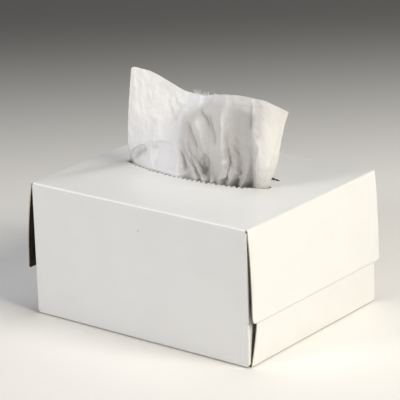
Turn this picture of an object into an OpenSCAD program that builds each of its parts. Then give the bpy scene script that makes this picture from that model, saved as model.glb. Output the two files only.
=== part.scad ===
// Folded board box of interfolded lens tissues, one of them pulled up through the oval opening.
// The origin is the centre of the base, X runs along the box, Y goes to its back, Z is up.

/* [Carton] */
// Length over the folds of the two ends, along X
carton_l = 127; // [122:1:150]
// Depth over the front and back walls, along Y
carton_d = 102.5; // [100:0.5:120]
// Height from the base to the edge of the top
carton_h = 66; // [60:1:76]
// Thickness of the board
board_t = 0.5; // [0.4:0.05:0.5]
// Outer radius of the creases between the four walls
crease_r = 1.2; // [0.9:0.1:2]
// Outer radius of the folds at the two ends
fold_r = 1.2; // [1.2:0.1:2]
// Width of the glue flap inside the back wall
glue_flap = 14; // [8:1:20]

/* [End flaps] */
// Depth of an outer flap, down from the top
outer_flap = 44; // [34:1:48]
// Depth of a lower flap, up from the base
lower_flap = 44; // [30:1:50]
// Gap between the free edges of the two dust flaps of an end
dust_gap = 12.5; // [8:0.5:30]
// Depth of the band in which the right lower flap is glued, down from its free edge
right_glue = 22; // [4:1:22]
// Depth of that band at the left end
left_glue = 5; // [4:1:22]
// How far the right flaps stand out where the outer one ends
right_bulge = 1.9; // [0.7:0.1:5]
// How far the left flaps stand out where the outer one ends
left_bulge = 4.2; // [0.7:0.1:5]
// How far the sides of an outer flap are cut back
outer_relief = 0.3; // [0.2:0.1:1]
// Radius of the outer flap's free corners
flap_corner_r = 1.5; // [0.5:0.1:4]
// How far the sides of a lower flap are cut back at its fold
lower_relief = 1.3; // [0.8:0.1:3]
// How far they are cut back at its free edge
lower_taper = 7; // [2:0.5:12]
// How far the ends of a dust flap are cut back from the folds above and below it
dust_relief = 0.3; // [0.2:0.1:3]
// How far they are cut back at its free edge
dust_taper = 7; // [4:0.5:15]
// How far a dust flap dives behind its fold
dust_dive = 2; // [0.5:0.1:2]
// Length over which it dives
dust_dive_l = 15; // [8:1:25]

/* [Top opening] */
// Length of the oval opening, along X
opening_l = 93; // [80:1:96]
// Width of the oval opening, along Y
opening_w = 28; // [20:1:34]
// Rise of the top where the front rim stands highest
front_rise = 3.1; // [0.5:0.1:5]
// Rise of the back rim
back_rise = 2.2; // [0.5:0.1:4]
// Rise at the right tip of the opening
right_tip_rise = 2.6; // [0.2:0.1:4]
// Rise at the left tip of the opening
left_tip_rise = 0.4; // [0.2:0.1:3]
// Width of the parted slit behind the tongue left at the right tip
slit_w = 1.6; // [0.6:0.1:2]

/* [Tissues] */
// Clearance of the folded pack from each end of the carton
end_clearance = 4.5; // [4.5:0.5:10]
// Clearance of the folded pack from the front and back of the carton
side_clearance = 2.75; // [2.75:0.25:8]
// Height of the folded pack
pack_h = 53; // [30:1:55]
// Number of folded bundles that show in the pack's sides
pack_bundles = 14; // [8:1:20]
// How far every other bundle sticks out
bundle_stagger = 0.8; // [0.2:0.1:1.5]
// Thickness of the pulled tissue with its crumple
sheet_t = 0.6; // [0.4:0.1:0.8]
// Clearance of the pulled tissue from the rim and from the pack
sheet_gap = 0.3; // [0.2:0.1:0.6]
// Height of the pulled tissue's folds where they pass the rim
neck_rise = 3.2; // [3.2:0.2:5]
// How far the pulled tissue stands up, as a share of what is shown
pull = 1; // [0.7:0.05:1.2]

/* [Hidden] */
$fn = 48;

board_white = "#f1f1ee";
pack_white = "#ece9e6";
tissue_white = "#f5f2f0";

// The walls end where the folds of the flaps begin
wall_x = carton_l / 2 - fold_r;
// The top panel lies between the rounded creases
panel_y = carton_d / 2 - crease_r;
// The outer flap's free edge, where the pair of flaps stands out most
crest_z = carton_h - outer_flap;
hinge_low = fold_r;
hinge_high = carton_h - fold_r;
// A dust flap lies just inside the flaps that cover it
dust_flap = (carton_d - dust_gap) / 2;
dust_inset = board_t + 0.1;
dust_fold_r = fold_r - dust_inset;
opening_a = opening_l / 2;
opening_b = opening_w / 2;
// The slit runs just outside the oval
slit_out = 0.9;
// The pack is as long as a tissue is wide, and as wide as half a tissue is long
pack_l = carton_l - 2 * end_clearance;
pack_w = carton_d - 2 * side_clearance;
pack_top = board_t + pack_h;
// The folds of neighbouring bundles are pressed into each other by this much
fold_press = 0.2;
steps = 10;
// Length of the bars within the board that join its parts
core_l = 0.3;
// How far the ends of the glue flap are cut back from the end folds
glue_relief = 2;
// The glued flaps are pressed into each other by this much
glue_press = 0.04;

// A rectangle with rounded corners, about the origin
module rounded(w, h, r) {
    square([w - 2 * r, h], center = true);
    square([w, h - 2 * r], center = true);
    for (x = [-1, 1], y = [-1, 1])
        translate([x * (w / 2 - r), y * (h / 2 - r)])
            circle(r);
}

// Stands a profile drawn in Y and Z up along X, about the middle
module along_x(l) {
    rotate([90, 0, 90])
        linear_extrude(l, center = true)
            children();
}

// Stands a profile drawn in X and Z up along Y, about the middle
module along_y(l) {
    rotate([90, 0, 0])
        linear_extrude(l, center = true)
            children();
}

// A quarter of a ring of board, from the top of a fold to its side
module quarter_fold(r) {
    difference() {
        intersection() {
            circle(r);
            square(r);
        }
        circle(r - board_t);
    }
}

// The four walls, with the flat of the top left open for its domed panel
module walls() {
    translate([0, 0, carton_h / 2])
        along_x(2 * wall_x)
            difference() {
                rounded(carton_d, carton_h, crease_r);
                rounded(carton_d - 2 * board_t, carton_h - 2 * board_t, crease_r - board_t);
                translate([-panel_y, 0])
                    square([2 * panel_y, carton_h]);
            }
}

// The glue flap turns up from the base and is glued inside the back wall
module glue_seam() {
    glue_l = 2 * (wall_x - glue_relief);
    translate([-glue_l / 2, carton_d / 2 - 2 * board_t, board_t / 2])
        cube([glue_l, 1.5 * board_t, glue_flap + board_t / 2]);
}

// A bar within the board, over a joint between two parts of the blank
module core(l, d, h) {
    cube([l, d, h], center = true);
}

// The board runs on through the folds and round the border of the top
module joined_folds() {
    dust_l = carton_h - 2 * (fold_r + dust_relief);
    for (x = [-1, 1]) {
        for (z = [board_t / 2, carton_h - board_t / 2])
            translate([x * wall_x, 0, z])
                core(core_l, 2 * panel_y, board_t / 2);
        for (y = [-1, 1])
            translate([x * wall_x, y * (carton_d - board_t) / 2, carton_h / 2])
                core(core_l, board_t / 2, dust_l);
    }
    for (y = [-1, 1])
        translate([0, y * panel_y, carton_h - board_t / 2])
            core(2 * wall_x, core_l, board_t / 2);
}

// Points of the top panel: its border, then the ring of the opening, as [x, y, rise]
border_points = [
    [-wall_x, -panel_y, 0], [wall_x, -panel_y, 0], [wall_x, 0.43 * panel_y, 0],
    [wall_x, panel_y, 0], [-wall_x, panel_y, 0], [-wall_x, -0.22 * panel_y, 0],
];
ring_points = [
    [-opening_a, 0, left_tip_rise],
    [-0.74 * opening_a, -0.67 * opening_b, 0.75 * front_rise],
    [0, -opening_b, front_rise],
    [0.78 * opening_a, -0.63 * opening_b, front_rise],
    [opening_a, 0, right_tip_rise],
    [0.7 * opening_a, 0.71 * opening_b, back_rise],
    [0, opening_b, back_rise],
    [-0.7 * opening_a, 0.71 * opening_b, 0.5 * back_rise],
];
panel_points = concat(border_points, ring_points);
// Facets of the creased top, counter-clockwise seen from above
panel_faces = [
    [0, 1, 8], [0, 8, 7], [1, 9, 8], [0, 7, 6], [0, 6, 5], [1, 10, 9], [1, 2, 10],
    [2, 3, 10], [3, 11, 10], [3, 12, 11], [3, 4, 12], [4, 13, 12], [4, 6, 13], [4, 5, 6],
    [6, 7, 13], [7, 8, 13], [8, 12, 13], [8, 9, 12], [9, 11, 12], [9, 10, 11],
];

// The top panel, creased and domed where the tissues push it up
module domed_panel() {
    n = len(panel_points);
    border = len(border_points);
    upper = [for (p = panel_points) [p[0], p[1], carton_h + p[2]]];
    lower = [for (p = panel_points) [p[0], p[1], carton_h - board_t + p[2]]];
    top_side = [for (f = panel_faces) [f[0], f[2], f[1]]];
    under_side = [for (f = panel_faces) [n + f[0], n + f[1], n + f[2]]];
    rim = [for (i = [0:border - 1]) let (j = (i + 1) % border) [i, j, n + j, n + i]];
    polyhedron(concat(upper, lower), concat(top_side, under_side, rim), convexity = 4);
}

function ellipse(a, b) = [for (i = [0:71]) [a * cos(5 * i), b * sin(5 * i)]];

// The opening as it was torn out, with a tongue of board left at its right tip
module opening_outline() {
    tear_x = 0.66 * opening_a;
    slit_end_x = 0.83 * opening_a;
    tongue_x = 0.9 * opening_a;
    tongue_y = -0.18 * opening_b;
    difference() {
        polygon(ellipse(opening_a, opening_b));
        polygon([
            [tear_x, opening_b], [tear_x + 1, 0.2 * opening_b], [tear_x + 4, tongue_y],
            [tongue_x, tongue_y], [tongue_x + 0.5, -opening_b], [carton_l, -opening_b],
            [carton_l, opening_b],
        ]);
    }
    intersection() {
        difference() {
            polygon(ellipse(opening_a + slit_out, opening_b + slit_out));
            polygon(ellipse(opening_a + slit_out - slit_w, opening_b + slit_out - slit_w));
        }
        translate([tear_x - 1, 0])
            square([slit_end_x - tear_x + 1, opening_b + slit_out]);
    }
}

module top_panel() {
    cut_h = 4 * front_rise + 4;
    difference() {
        domed_panel();
        translate([0, 0, carton_h - cut_h / 2])
            linear_extrude(cut_h)
                opening_outline();
    }
}

// How far a flap stands out from its fold line at a height
function outer_out(z, bulge) = bulge * (1 - pow((z - crest_z) / (hinge_high - crest_z), 2));

// The lower flap lies against the outer one from its glued band up. Below the band it is the
// straighter, the narrower the band is.
function glue_line(glue) = max(crest_z, lower_flap - glue);
function bow(glue) = 1 + min(1, glue / (lower_flap - crest_z));
function lower_out(z, bulge, glue) =
    let (line = glue_line(glue))
    z > line
        ? outer_out(z, bulge) - board_t + glue_press
        : (outer_out(line, bulge) - board_t + glue_press)
            * (1 - pow((line - z) / (line - hinge_low), bow(glue)));

// Heights from one to the other in even steps
function heights(a, b) = [for (i = [0:steps]) a + (b - a) * i / steps];

// A strip of board through the given points of its outer face
module bowed_strip(face) {
    n = len(face);
    inner = [for (i = [n - 1:-1:0]) [face[i][0] - board_t, face[i][1]]];
    polygon(concat(face, inner));
}

// The outer flap hangs from the top, bowed out to its free edge
module outer_end_flap(bulge) {
    w = carton_d - 2 * outer_relief;
    face = [for (z = heights(crest_z, hinge_high)) [carton_l / 2 + outer_out(z, bulge), z]];
    intersection() {
        along_y(w) {
            translate([wall_x, hinge_high])
                quarter_fold(fold_r);
            bowed_strip(face);
        }
        translate([carton_l / 2, 0, crest_z])
            along_x(4 * fold_r + 2 * bulge)
                free_edge_outline(w, outer_flap);
    }
}

// A flap's outline with its two free corners rounded
module free_edge_outline(w, h) {
    translate([-w / 2, flap_corner_r])
        square([w, h]);
    translate([flap_corner_r - w / 2, 0])
        square([w - 2 * flap_corner_r, h]);
    for (x = [-1, 1])
        translate([x * (w / 2 - flap_corner_r), flap_corner_r])
            circle(flap_corner_r);
}

// The lower flap stands on the base's fold and is glued behind the outer one
module lower_end_flap(bulge, glue) {
    low = carton_d / 2 - lower_relief;
    high = carton_d / 2 - lower_taper;
    line = glue_line(glue);
    shared = [for (z = heights(crest_z, hinge_high)) if (z > line && z < lower_flap) z];
    levels = concat(heights(hinge_low, line), shared, [lower_flap]);
    face = [for (z = levels) [carton_l / 2 + lower_out(z, bulge, glue), z]];
    intersection() {
        along_y(carton_d) {
            translate([wall_x, hinge_low])
                mirror([0, 1])
                    quarter_fold(fold_r);
            bowed_strip(face);
        }
        translate([carton_l / 2, 0, 0])
            along_x(4 * fold_r + 2 * bulge)
                polygon([[-low, 0], [low, 0], [high, lower_flap], [-high, lower_flap]]);
    }
}

// A dust flap turns in from the front wall and dives behind the other flaps
module dust_end_flap() {
    start = -carton_d / 2 + dust_fold_r;
    end = -carton_d / 2 + dust_flap;
    outer_x = carton_l / 2 - dust_inset;
    low = fold_r + dust_relief;
    high = carton_h - fold_r - dust_relief;
    face = [
        for (i = [0:steps])
            let (u = i / steps)
            [outer_x - dust_dive * (1 - pow(1 - u, 2)), start + dust_dive_l * u]
    ];
    flat_end = [[outer_x - dust_dive, end]];
    intersection() {
        linear_extrude(carton_h) {
            translate([wall_x, start])
                mirror([0, 1])
                    quarter_fold(dust_fold_r);
            bowed_strip(concat(face, flat_end));
        }
        translate([carton_l / 2, 0, 0])
            along_x(4 * fold_r + 2 * dust_dive)
                polygon([
                    [-carton_d / 2, low], [end, low + dust_taper],
                    [end, high - dust_taper], [-carton_d / 2, high],
                ]);
    }
}

module closed_end(bulge, glue) {
    outer_end_flap(bulge);
    lower_end_flap(bulge, glue);
    dust_end_flap();
    mirror([0, 1, 0])
        dust_end_flap();
}

// The whole carton is one folded and glued blank
module carton() {
    color(board_white) {
        walls();
        glue_seam();
        joined_folds();
        top_panel();
        closed_end(right_bulge, right_glue);
        mirror([1, 0, 0])
            closed_end(left_bulge, left_glue);
    }
}

// The interfolded tissues, with their rounded folds along the front and back
module tissue_pack() {
    bundle = pack_h / pack_bundles;
    fold = bundle / 2 + fold_press;
    bundle_w = pack_w - bundle_stagger - 2 * fold;
    color(pack_white)
        translate([0, 0, board_t])
            along_x(pack_l)
                intersection() {
                    translate([-pack_w / 2, 0])
                        square([pack_w, pack_h]);
                    for (i = [0:pack_bundles - 1])
                        translate([(i % 2 - 0.5) * bundle_stagger, (i + 0.5) * bundle]) {
                            square([bundle_w, bundle + fold_press], center = true);
                            for (y = [-1, 1])
                                translate([y * bundle_w / 2, 0])
                                    circle(fold);
                        }
                }
}

// Fold lines of the pulled tissue from left to right. Each has its place at the rim, as a share of
// the opening's half length and a depth behind the rim, then its points low down, halfway up and
// in the top edge:
// [share, depth, x, y, z low down, x, y, z halfway, x, y, z at the top]
folds = [
    [-0.905, 1.2, -40.5, -5.5, 77.7, -39.1, -6, 93, -37.8, -4.5, 113.8],
    [-0.87, 4.2, -37.8, -4.8, 78.4, -35.5, -5.6, 94.2, -34.1, -3.8, 115.4],
    [-0.76, 2.5, -30.4, -4.5, 78.3, -30.4, -3.6, 93.3, -28.3, -2, 113.9],
    [-0.56, 0, -25, -4.2, 80.6, -24.9, -2.2, 92.8, -23.2, -0.3, 111.6],
    [-0.4, 0.8, -19.5, -3.6, 80.6, -20.7, -0.6, 93, -17.7, 1.4, 108.7],
    [-0.24, 0, -15.5, -3.2, 81.7, -16.8, 0.6, 93.3, -12.3, 3.2, 105.7],
    [-0.11, 0, -11, -4, 81.9, -14.3, 1.6, 93.2, -6.2, 4.4, 104.6],
    [-0.05, 4, -8.7, -3.2, 79.8, -10.5, 0.2, 93.5, -0.7, 4.2, 104.5],
    [0.1, 0, -2.3, -6.6, 75.9, -6.6, -2, 89.7, 4.2, 3.2, 105.6],
    [0.15, 3.5, -0.4, -6, 75.6, -3.4, -3, 90.2, 6.4, 2.6, 106.3],
    [0.205, 0, 4.3, -9, 76.7, -0.7, -3.4, 90.5, 8.4, 2, 106.9],
    [0.25, 4, 6.4, -6.4, 76.6, 3.5, -4.2, 90.9, 10.3, 1.4, 107.3],
    [0.3, 0.3, 11.6, -8.2, 76.7, 7.6, -5, 91.3, 11.9, 0.8, 107.6],
    [0.345, 2.5, 14.3, -8, 76.7, 12.3, -5.8, 91.8, 13.5, 0.2, 108],
    [0.4, 0, 21, -11.3, 78.7, 17.2, -6.9, 93.4, 15.5, -0.5, 108.4],
    [0.445, 3, 22.3, -9.3, 77.9, 21, -7.3, 93.8, 18.7, -1.3, 109],
    [0.51, 0, 27.5, -10.4, 78.8, 25.5, -8.3, 94.6, 23.4, -2.5, 109.8],
    [0.555, 4.5, 29.7, -8.4, 78.4, 30.4, -9.9, 95.3, 27.9, -4, 110.5],
    [0.645, 0.3, 34, -9.6, 79, 34.4, -11.4, 96.3, 30.9, -5, 110.8],
    [0.7, 4.5, 35.9, -8.2, 79.4, 37.7, -12.8, 97.2, 33.3, -6, 111.1],
    [0.795, 0, 40.9, -10.8, 82, 40.2, -13.6, 97.4, 35, -6.6, 111.3],
    [0.845, 0.3, 43.4, -9.5, 82, 44.9, -12.2, 97.3, 41.7, -6.2, 110.9],
    [0.868, 0.8, 44.4, -7.8, 82.2, 48, -9.6, 97.1, 46.8, -4.8, 108.9],
    [0.88, 1.5, 45.4, -6.6, 82.6, 49.6, -7.6, 96.9, 50.3, -3.2, 107.2],
    [0.892, 2.2, 46.3, -5.4, 82.3, 50.5, -5.2, 96.4, 51.2, -1.8, 105.9],
];
fold_n = len(folds);
per_fold = 3;
column_n = (fold_n - 1) * per_fold + 1;
levels_n = 4;
per_level = 4;
rise_rows = (levels_n - 1) * per_level;
neck_z = carton_h + neck_rise;
// The foot below the rim turns back over the pack:
// [share of spread, y as a share of the pack's width, height above the pack]
foot = [[0, 0, 9], [0.1, 0, 4], [0.35, -0.05, 1], [0.75, 0.04, 0], [1, 0.19, 0], [1, 0.474, 0]];

// A smooth curve from p1 to p2, with p0 before them and p3 after them
function smooth(p0, p1, p2, p3, u, ease) =
    (2 * u * u * u - 3 * u * u + 1) * p1 + (u * u * u - 2 * u * u + u) * (p2 - p0) / ease
        + (3 * u * u - 2 * u * u * u) * p2 + (u * u * u - u * u) * (p3 - p1) / ease;

// A smooth value between the fold lines, for one entry of the table
function fold_entry(i, k) = folds[max(0, min(fold_n - 1, i))][k];
function along_folds(c, k) =
    let (i = floor(c / per_fold))
    smooth(
        fold_entry(i - 1, k), fold_entry(i, k), fold_entry(i + 1, k), fold_entry(i + 2, k),
        c / per_fold - i, 2.6
    );

// The rim of the opening, seen from above
function rim_y(x) = -opening_b * sqrt(max(0.02, 1 - pow(x / opening_a, 2)));

function neck_point(c) =
    let (x = opening_a * along_folds(c, 0))
    [x, rim_y(x) + sheet_gap + max(0, along_folds(c, 1)), neck_z];

// A point of a fold line: at the rim, low down, halfway up or in the top edge
function level_point(c, level) =
    level <= 0
        ? neck_point(c)
        : let (k = 3 * min(levels_n - 1, level) - 1, z = along_folds(c, k + 2))
            [along_folds(c, k), along_folds(c, k + 1), neck_z + pull * (z - neck_z)];

// The standing part of the tissue, from the rim at 0 up to the top edge at 3
function standing_point(c, t) =
    let (i = min(levels_n - 2, floor(t)))
    smooth(
        level_point(c, i - 1), level_point(c, i), level_point(c, i + 1), level_point(c, i + 2),
        t - i, 2
    );

// The foot of the tissue spreads out flat over the pack
function foot_point(c, f) =
    let (neck = neck_point(c), spread = f[0], side = pack_l * (c / (column_n - 1) - 0.5))
    [
        neck[0] + spread * (side - neck[0]),
        spread < 0.2 ? neck[1] : f[1] * pack_w + (neck[1] - rim_y(neck[0])) * (1 - spread),
        pack_top + sheet_gap + f[2],
    ];

// Rows of the face that looks to the front, from the top edge down to the end of the foot,
// each with the direction from it to the back face
front_rows = concat(
    [for (r = [rise_rows:-1:0]) [for (c = [0:column_n - 1]) standing_point(c, r / per_level)]],
    [for (f = foot) [for (c = [0:column_n - 1]) foot_point(c, f)]]
);
function lean(r) = max(0, min(90, (r - rise_rows - 1) * 30));
back_rows = [
    for (r = [0:len(front_rows) - 1])
        [for (p = front_rows[r]) p + sheet_t * [0, cos(lean(r)), sin(lean(r))]]
];

module pulled_tissue() {
    rows = len(front_rows);
    size = rows * column_n;
    points = concat([for (row = front_rows) each row], [for (row = back_rows) each row]);
    cells = [for (r = [0:rows - 2], c = [0:column_n - 2]) r * column_n + c];
    front_faces = [for (a = cells) each [
        [a, a + 1, a + column_n], [a + 1, a + column_n + 1, a + column_n]
    ]];
    back_faces = [for (f = front_faces) [size + f[0], size + f[2], size + f[1]]];
    edge = concat(
        [for (c = [0:column_n - 2]) c],
        [for (r = [0:rows - 2]) r * column_n + column_n - 1],
        [for (c = [column_n - 1:-1:1]) (rows - 1) * column_n + c],
        [for (r = [rows - 1:-1:1]) r * column_n]
    );
    n = len(edge);
    edge_faces = [
        for (i = [0:n - 1])
            let (a = edge[i], b = edge[(i + 1) % n])
            each [[a, size + a, size + b], [a, size + b, b]]
    ];
    color(tissue_white)
        polyhedron(points, concat(front_faces, back_faces, edge_faces), convexity = 10);
}

carton();
tissue_pack();
pulled_tissue();
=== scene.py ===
"""Dresses the folded box of lens tissues: its coated board, its torn opening and its pulled tissue.

Sizes in the classes are in millimetres. Meshes are made in metres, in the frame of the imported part:
X along the box, Y to its back, Z up from the base.
"""

import logging
import math
from dataclasses import dataclass, field
from enum import Enum, IntEnum
from typing import Callable, NamedTuple

import bmesh
import bpy
import numpy as np
from mathutils import Matrix, Vector
from mathutils.geometry import delaunay_2d_cdt


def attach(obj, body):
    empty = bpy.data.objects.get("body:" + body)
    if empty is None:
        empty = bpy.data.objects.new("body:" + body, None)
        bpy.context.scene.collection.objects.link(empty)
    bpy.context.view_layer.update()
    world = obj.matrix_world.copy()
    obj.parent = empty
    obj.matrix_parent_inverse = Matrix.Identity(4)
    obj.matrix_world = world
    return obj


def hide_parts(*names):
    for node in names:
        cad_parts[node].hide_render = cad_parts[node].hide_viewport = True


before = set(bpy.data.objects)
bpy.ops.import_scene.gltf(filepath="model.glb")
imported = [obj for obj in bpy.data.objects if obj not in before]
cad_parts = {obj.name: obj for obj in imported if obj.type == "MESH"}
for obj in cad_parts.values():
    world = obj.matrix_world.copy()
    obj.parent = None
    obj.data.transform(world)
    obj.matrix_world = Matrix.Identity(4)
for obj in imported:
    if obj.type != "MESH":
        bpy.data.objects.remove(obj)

LOG = logging.getLogger("lens_tissue_box")
MM = 0.001
SEED = 2417

Grid = np.ndarray
Colour = tuple[float, float, float]
Socket = bpy.types.NodeSocket
BELOW_RIM = "below_rim"
FOLD_TONE = "fold_tone"
EVEN_TONE = 0.5
LATTICE = 64
WELD_GAP = 0.000004
SHARP_DEG = 32


class Side(IntEnum):
    """Which face of the board a polygon belongs to, and so which finish it takes."""

    COATED = 0
    UNCOATED = 1
    CUT = 2


class End(Enum):
    """The two ends of the carton, as the direction of their flaps along X."""

    RIGHT = 1
    LEFT = -1


class Slope(Enum):
    """How a value is mapped between the ends of its range."""

    EVEN = "LINEAR"
    SOFT = "SMOOTHSTEP"


class Rim(NamedTuple):
    """One point of the torn outline of the opening, and whether the perforation runs through it."""

    x: float
    y: float
    perforated: bool


def cubic(points: tuple[Grid, Grid, Grid, Grid], u: Grid | float, ease: float) -> Grid:
    """Runs a smooth curve from the second of four neighbours to the third.

    Args:
        points: The four neighbours in order.
        u: How far along, from 0 to 1.
        ease: What the difference of two neighbours is divided by to give the slope.

    Returns:
        The curve there.
    """
    before, here, after, beyond = points
    slope_here, slope_after = (after - before) / ease, (beyond - here) / ease
    return (
        (2 * u**3 - 3 * u**2 + 1) * here
        + (u**3 - 2 * u**2 + u) * slope_here
        + (3 * u**2 - 2 * u**3) * after
        + (u**3 - u**2) * slope_after
    )


def hermite(values: Grid, at: Grid, ease: float) -> Grid:
    """Runs a smooth curve through evenly spaced values.

    Args:
        values: The values at 0, 1, 2 and so on.
        at: The places at which the curve is wanted.
        ease: What the difference of two neighbours is divided by to give the slope.

    Returns:
        The curve's value at each place.
    """
    i = np.floor(at).astype(int)
    four = tuple(values[np.clip(i + k, 0, len(values) - 1)] for k in (-1, 0, 1, 2))
    return cubic(four, at - i, ease)


def plane(first: Grid, second: Grid) -> Grid:
    """Joins two coordinates, of which one may be a single number, into points in the plane."""
    return np.stack(np.broadcast_arrays(first, second), 1)


def directions(line: Grid) -> Grid:
    """Gives the unit direction of a line at each of its points."""
    way = np.gradient(line, axis=0)
    return way / np.linalg.norm(way, axis=1, keepdims=True)


def put(name: str, data: bpy.types.ID) -> bpy.types.Object:
    """Puts an object with the given data into the scene.

    Args:
        name: The object's name.
        data: Its mesh, lamp or camera.

    Returns:
        The object.
    """
    obj = bpy.data.objects.new(name, data)
    bpy.context.scene.collection.objects.link(obj)
    return obj


def smooth_noise(u: Grid, v: Grid, seed: int) -> Grid:
    """Gives smooth random values between -1 and 1 on a plane.

    Args:
        u: First coordinate, in cells of the noise.
        v: Second coordinate, in cells of the noise.
        seed: Picks one of the noises.

    Returns:
        The value at each place.
    """
    lattice = np.random.default_rng(seed).uniform(-1, 1, (LATTICE, LATTICE))
    iu, iv = np.floor(u).astype(int), np.floor(v).astype(int)
    fu, fv = u - iu, v - iv
    su, sv = fu * fu * (3 - 2 * fu), fv * fv * (3 - 2 * fv)

    def corner(a: int, b: int) -> Grid:
        """Looks up the lattice, which repeats."""
        return lattice[(iu + a) % LATTICE, (iv + b) % LATTICE]

    low = corner(0, 0) * (1 - su) + corner(1, 0) * su
    high = corner(0, 1) * (1 - su) + corner(1, 1) * su
    return low * (1 - sv) + high * sv


def ridges(u: Grid, v: Grid, seed: int, octaves: int = 3) -> Grid:
    """Gives a surface of sharp creases, as crumpled paper has, between about -1 and 1.

    Args:
        u: First coordinate, in cells of the coarsest creases.
        v: Second coordinate, in the same cells.
        seed: Picks one of the surfaces.
        octaves: How many sizes of crease there are, each half as large as the one before.

    Returns:
        The height at each place.
    """
    total, size = np.zeros_like(u), 1.0
    for k in range(octaves):
        turn = 0.7 * k
        a, b = u * math.cos(turn) - v * math.sin(turn), u * math.sin(turn) + v * math.cos(turn)
        total += size * (1 - 2.6 * np.abs(smooth_noise(a * 2**k, b * 2**k, seed + k)))
        size *= 0.5
    return total / 1.75


class Crumple(NamedTuple):
    """One kind of crumple: its cells in millimetres, where its noise starts, and its seed."""

    across: float
    along: float
    start_across: float
    start_along: float
    seed: int
    octaves: int = 3

    def height(self, u: Grid, v: Grid) -> Grid:
        """Gives its height at places in millimetres, between about -1 and 1."""
        a, b = u / self.across + self.start_across, v / self.along + self.start_along
        return ridges(a, b, self.seed, self.octaves)


def soften(height: Grid, cells: float) -> Grid:
    """Rounds the folds of a height field whose border stays at zero.

    Args:
        height: Heights on a square grid, zero along its border.
        cells: The spread of the rounding, in cells of the grid.

    Returns:
        The rounded heights.
    """
    reach = int(3 * cells) + 1
    offsets = np.arange(-reach, reach + 1)
    weights = np.exp(-0.5 * (offsets / cells) ** 2)
    weights /= weights.sum()
    for axis in (0, 1):
        moved = np.moveaxis(height, axis, 0)
        padded = np.concatenate([-moved[reach:0:-1], moved, -moved[-2 : -reach - 2 : -1]])
        rows = len(moved)
        moved = sum(w * padded[reach + k : reach + k + rows] for w, k in zip(weights, offsets))
        height = np.moveaxis(moved, 0, axis)
    return height


def inside(points: Grid, outline: Grid) -> Grid:
    """Tells which points lie inside a closed outline.

    Args:
        points: Points in the plane, (n, 2).
        outline: The outline's corners in order, (m, 2).

    Returns:
        A true or false for each point.
    """
    hits = np.zeros(len(points), bool)
    x, y = points[:, 0], points[:, 1]
    ahead = np.roll(outline, -1, axis=0)
    for (ax, ay), (bx, by) in zip(outline, ahead):
        if ay != by:
            crosses = (ay > y) != (by > y)
            hits ^= crosses & (x < (bx - ax) * (y - ay) / (by - ay) + ax)
    return hits


@dataclass
class Folded:
    """Collects the faces of one folded sheet of board, each with the side that it shows."""

    points: list[Grid] = field(default_factory=list)
    faces: list[tuple[int, ...]] = field(default_factory=list)
    sides: list[int] = field(default_factory=list)
    count: int = 0

    def add(self, points: Grid, faces: Grid, side: Side) -> int:
        """Adds points and the faces on them.

        Args:
            points: Places in millimetres, (n, 3).
            faces: Corner numbers within those points, (m, 3) or (m, 4).
            side: The side of the board that the faces show.

        Returns:
            The number of the first point within the whole piece.
        """
        start = self.count
        self.points.append(np.asarray(points, float).reshape(-1, 3))
        self.count += len(self.points[-1])
        self.faces.extend(tuple(int(i) + start for i in f) for f in faces)
        self.sides.extend([int(side)] * len(faces))
        return start

    def sheet(self, outer: Grid, inner: Grid) -> None:
        """Adds a strip of board between two grids of points, with its cut edges all round.

        Args:
            outer: Points of the coated face, (rows, columns, 3).
            inner: Points of the uncoated face behind them.
        """
        rows, columns = outer.shape[:2]
        cells = grid_faces(rows, columns)
        both = np.concatenate([outer.reshape(-1, 3), inner.reshape(-1, 3)])
        size = rows * columns
        self.add(outer.reshape(-1, 3), cells, Side.COATED)
        self.add(inner.reshape(-1, 3), cells[:, ::-1], Side.UNCOATED)
        number = np.arange(size).reshape(rows, columns)
        ring = np.concatenate(
            [number[0, :-1], number[:-1, -1], number[-1, :0:-1], number[:0:-1, 0]]
        )
        after = np.roll(ring, -1)
        self.add(both, np.stack([ring, ring + size, after + size, after], 1), Side.CUT)

    def piece(self, name: str, finishes: list[bpy.types.Material]) -> bpy.types.Object:
        """Makes the Blender object, welded, with smooth faces between its real edges.

        Args:
            name: The object's name.
            finishes: A material for each side of the board.

        Returns:
            The object.
        """
        mesh = bpy.data.meshes.new(name)
        mesh.from_pydata((np.concatenate(self.points) * MM).tolist(), [], self.faces)
        mesh.polygons.foreach_set("material_index", self.sides)
        for finish in finishes:
            mesh.materials.append(finish)
        smooth(mesh, SHARP_DEG)
        return put(name, mesh)


def grid_faces(rows: int, columns: int) -> Grid:
    """Gives the four corners of every cell of a grid of points."""
    cell = (np.arange(rows - 1)[:, None] * columns + np.arange(columns - 1)).ravel()
    return np.stack([cell, cell + 1, cell + columns + 1, cell + columns], 1)


def smooth(mesh: bpy.types.Mesh, sharp_deg: float) -> None:
    """Welds a mesh and shades it smooth, apart from its sharp edges.

    Args:
        mesh: The mesh.
        sharp_deg: The angle in degrees from which an edge is sharp.
    """
    work = bmesh.new()
    work.from_mesh(mesh)
    bmesh.ops.remove_doubles(work, verts=work.verts, dist=WELD_GAP)
    work.to_mesh(mesh)
    work.free()
    mesh.shade_smooth()
    mesh.set_sharp_from_angle(angle=math.radians(sharp_deg))


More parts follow.
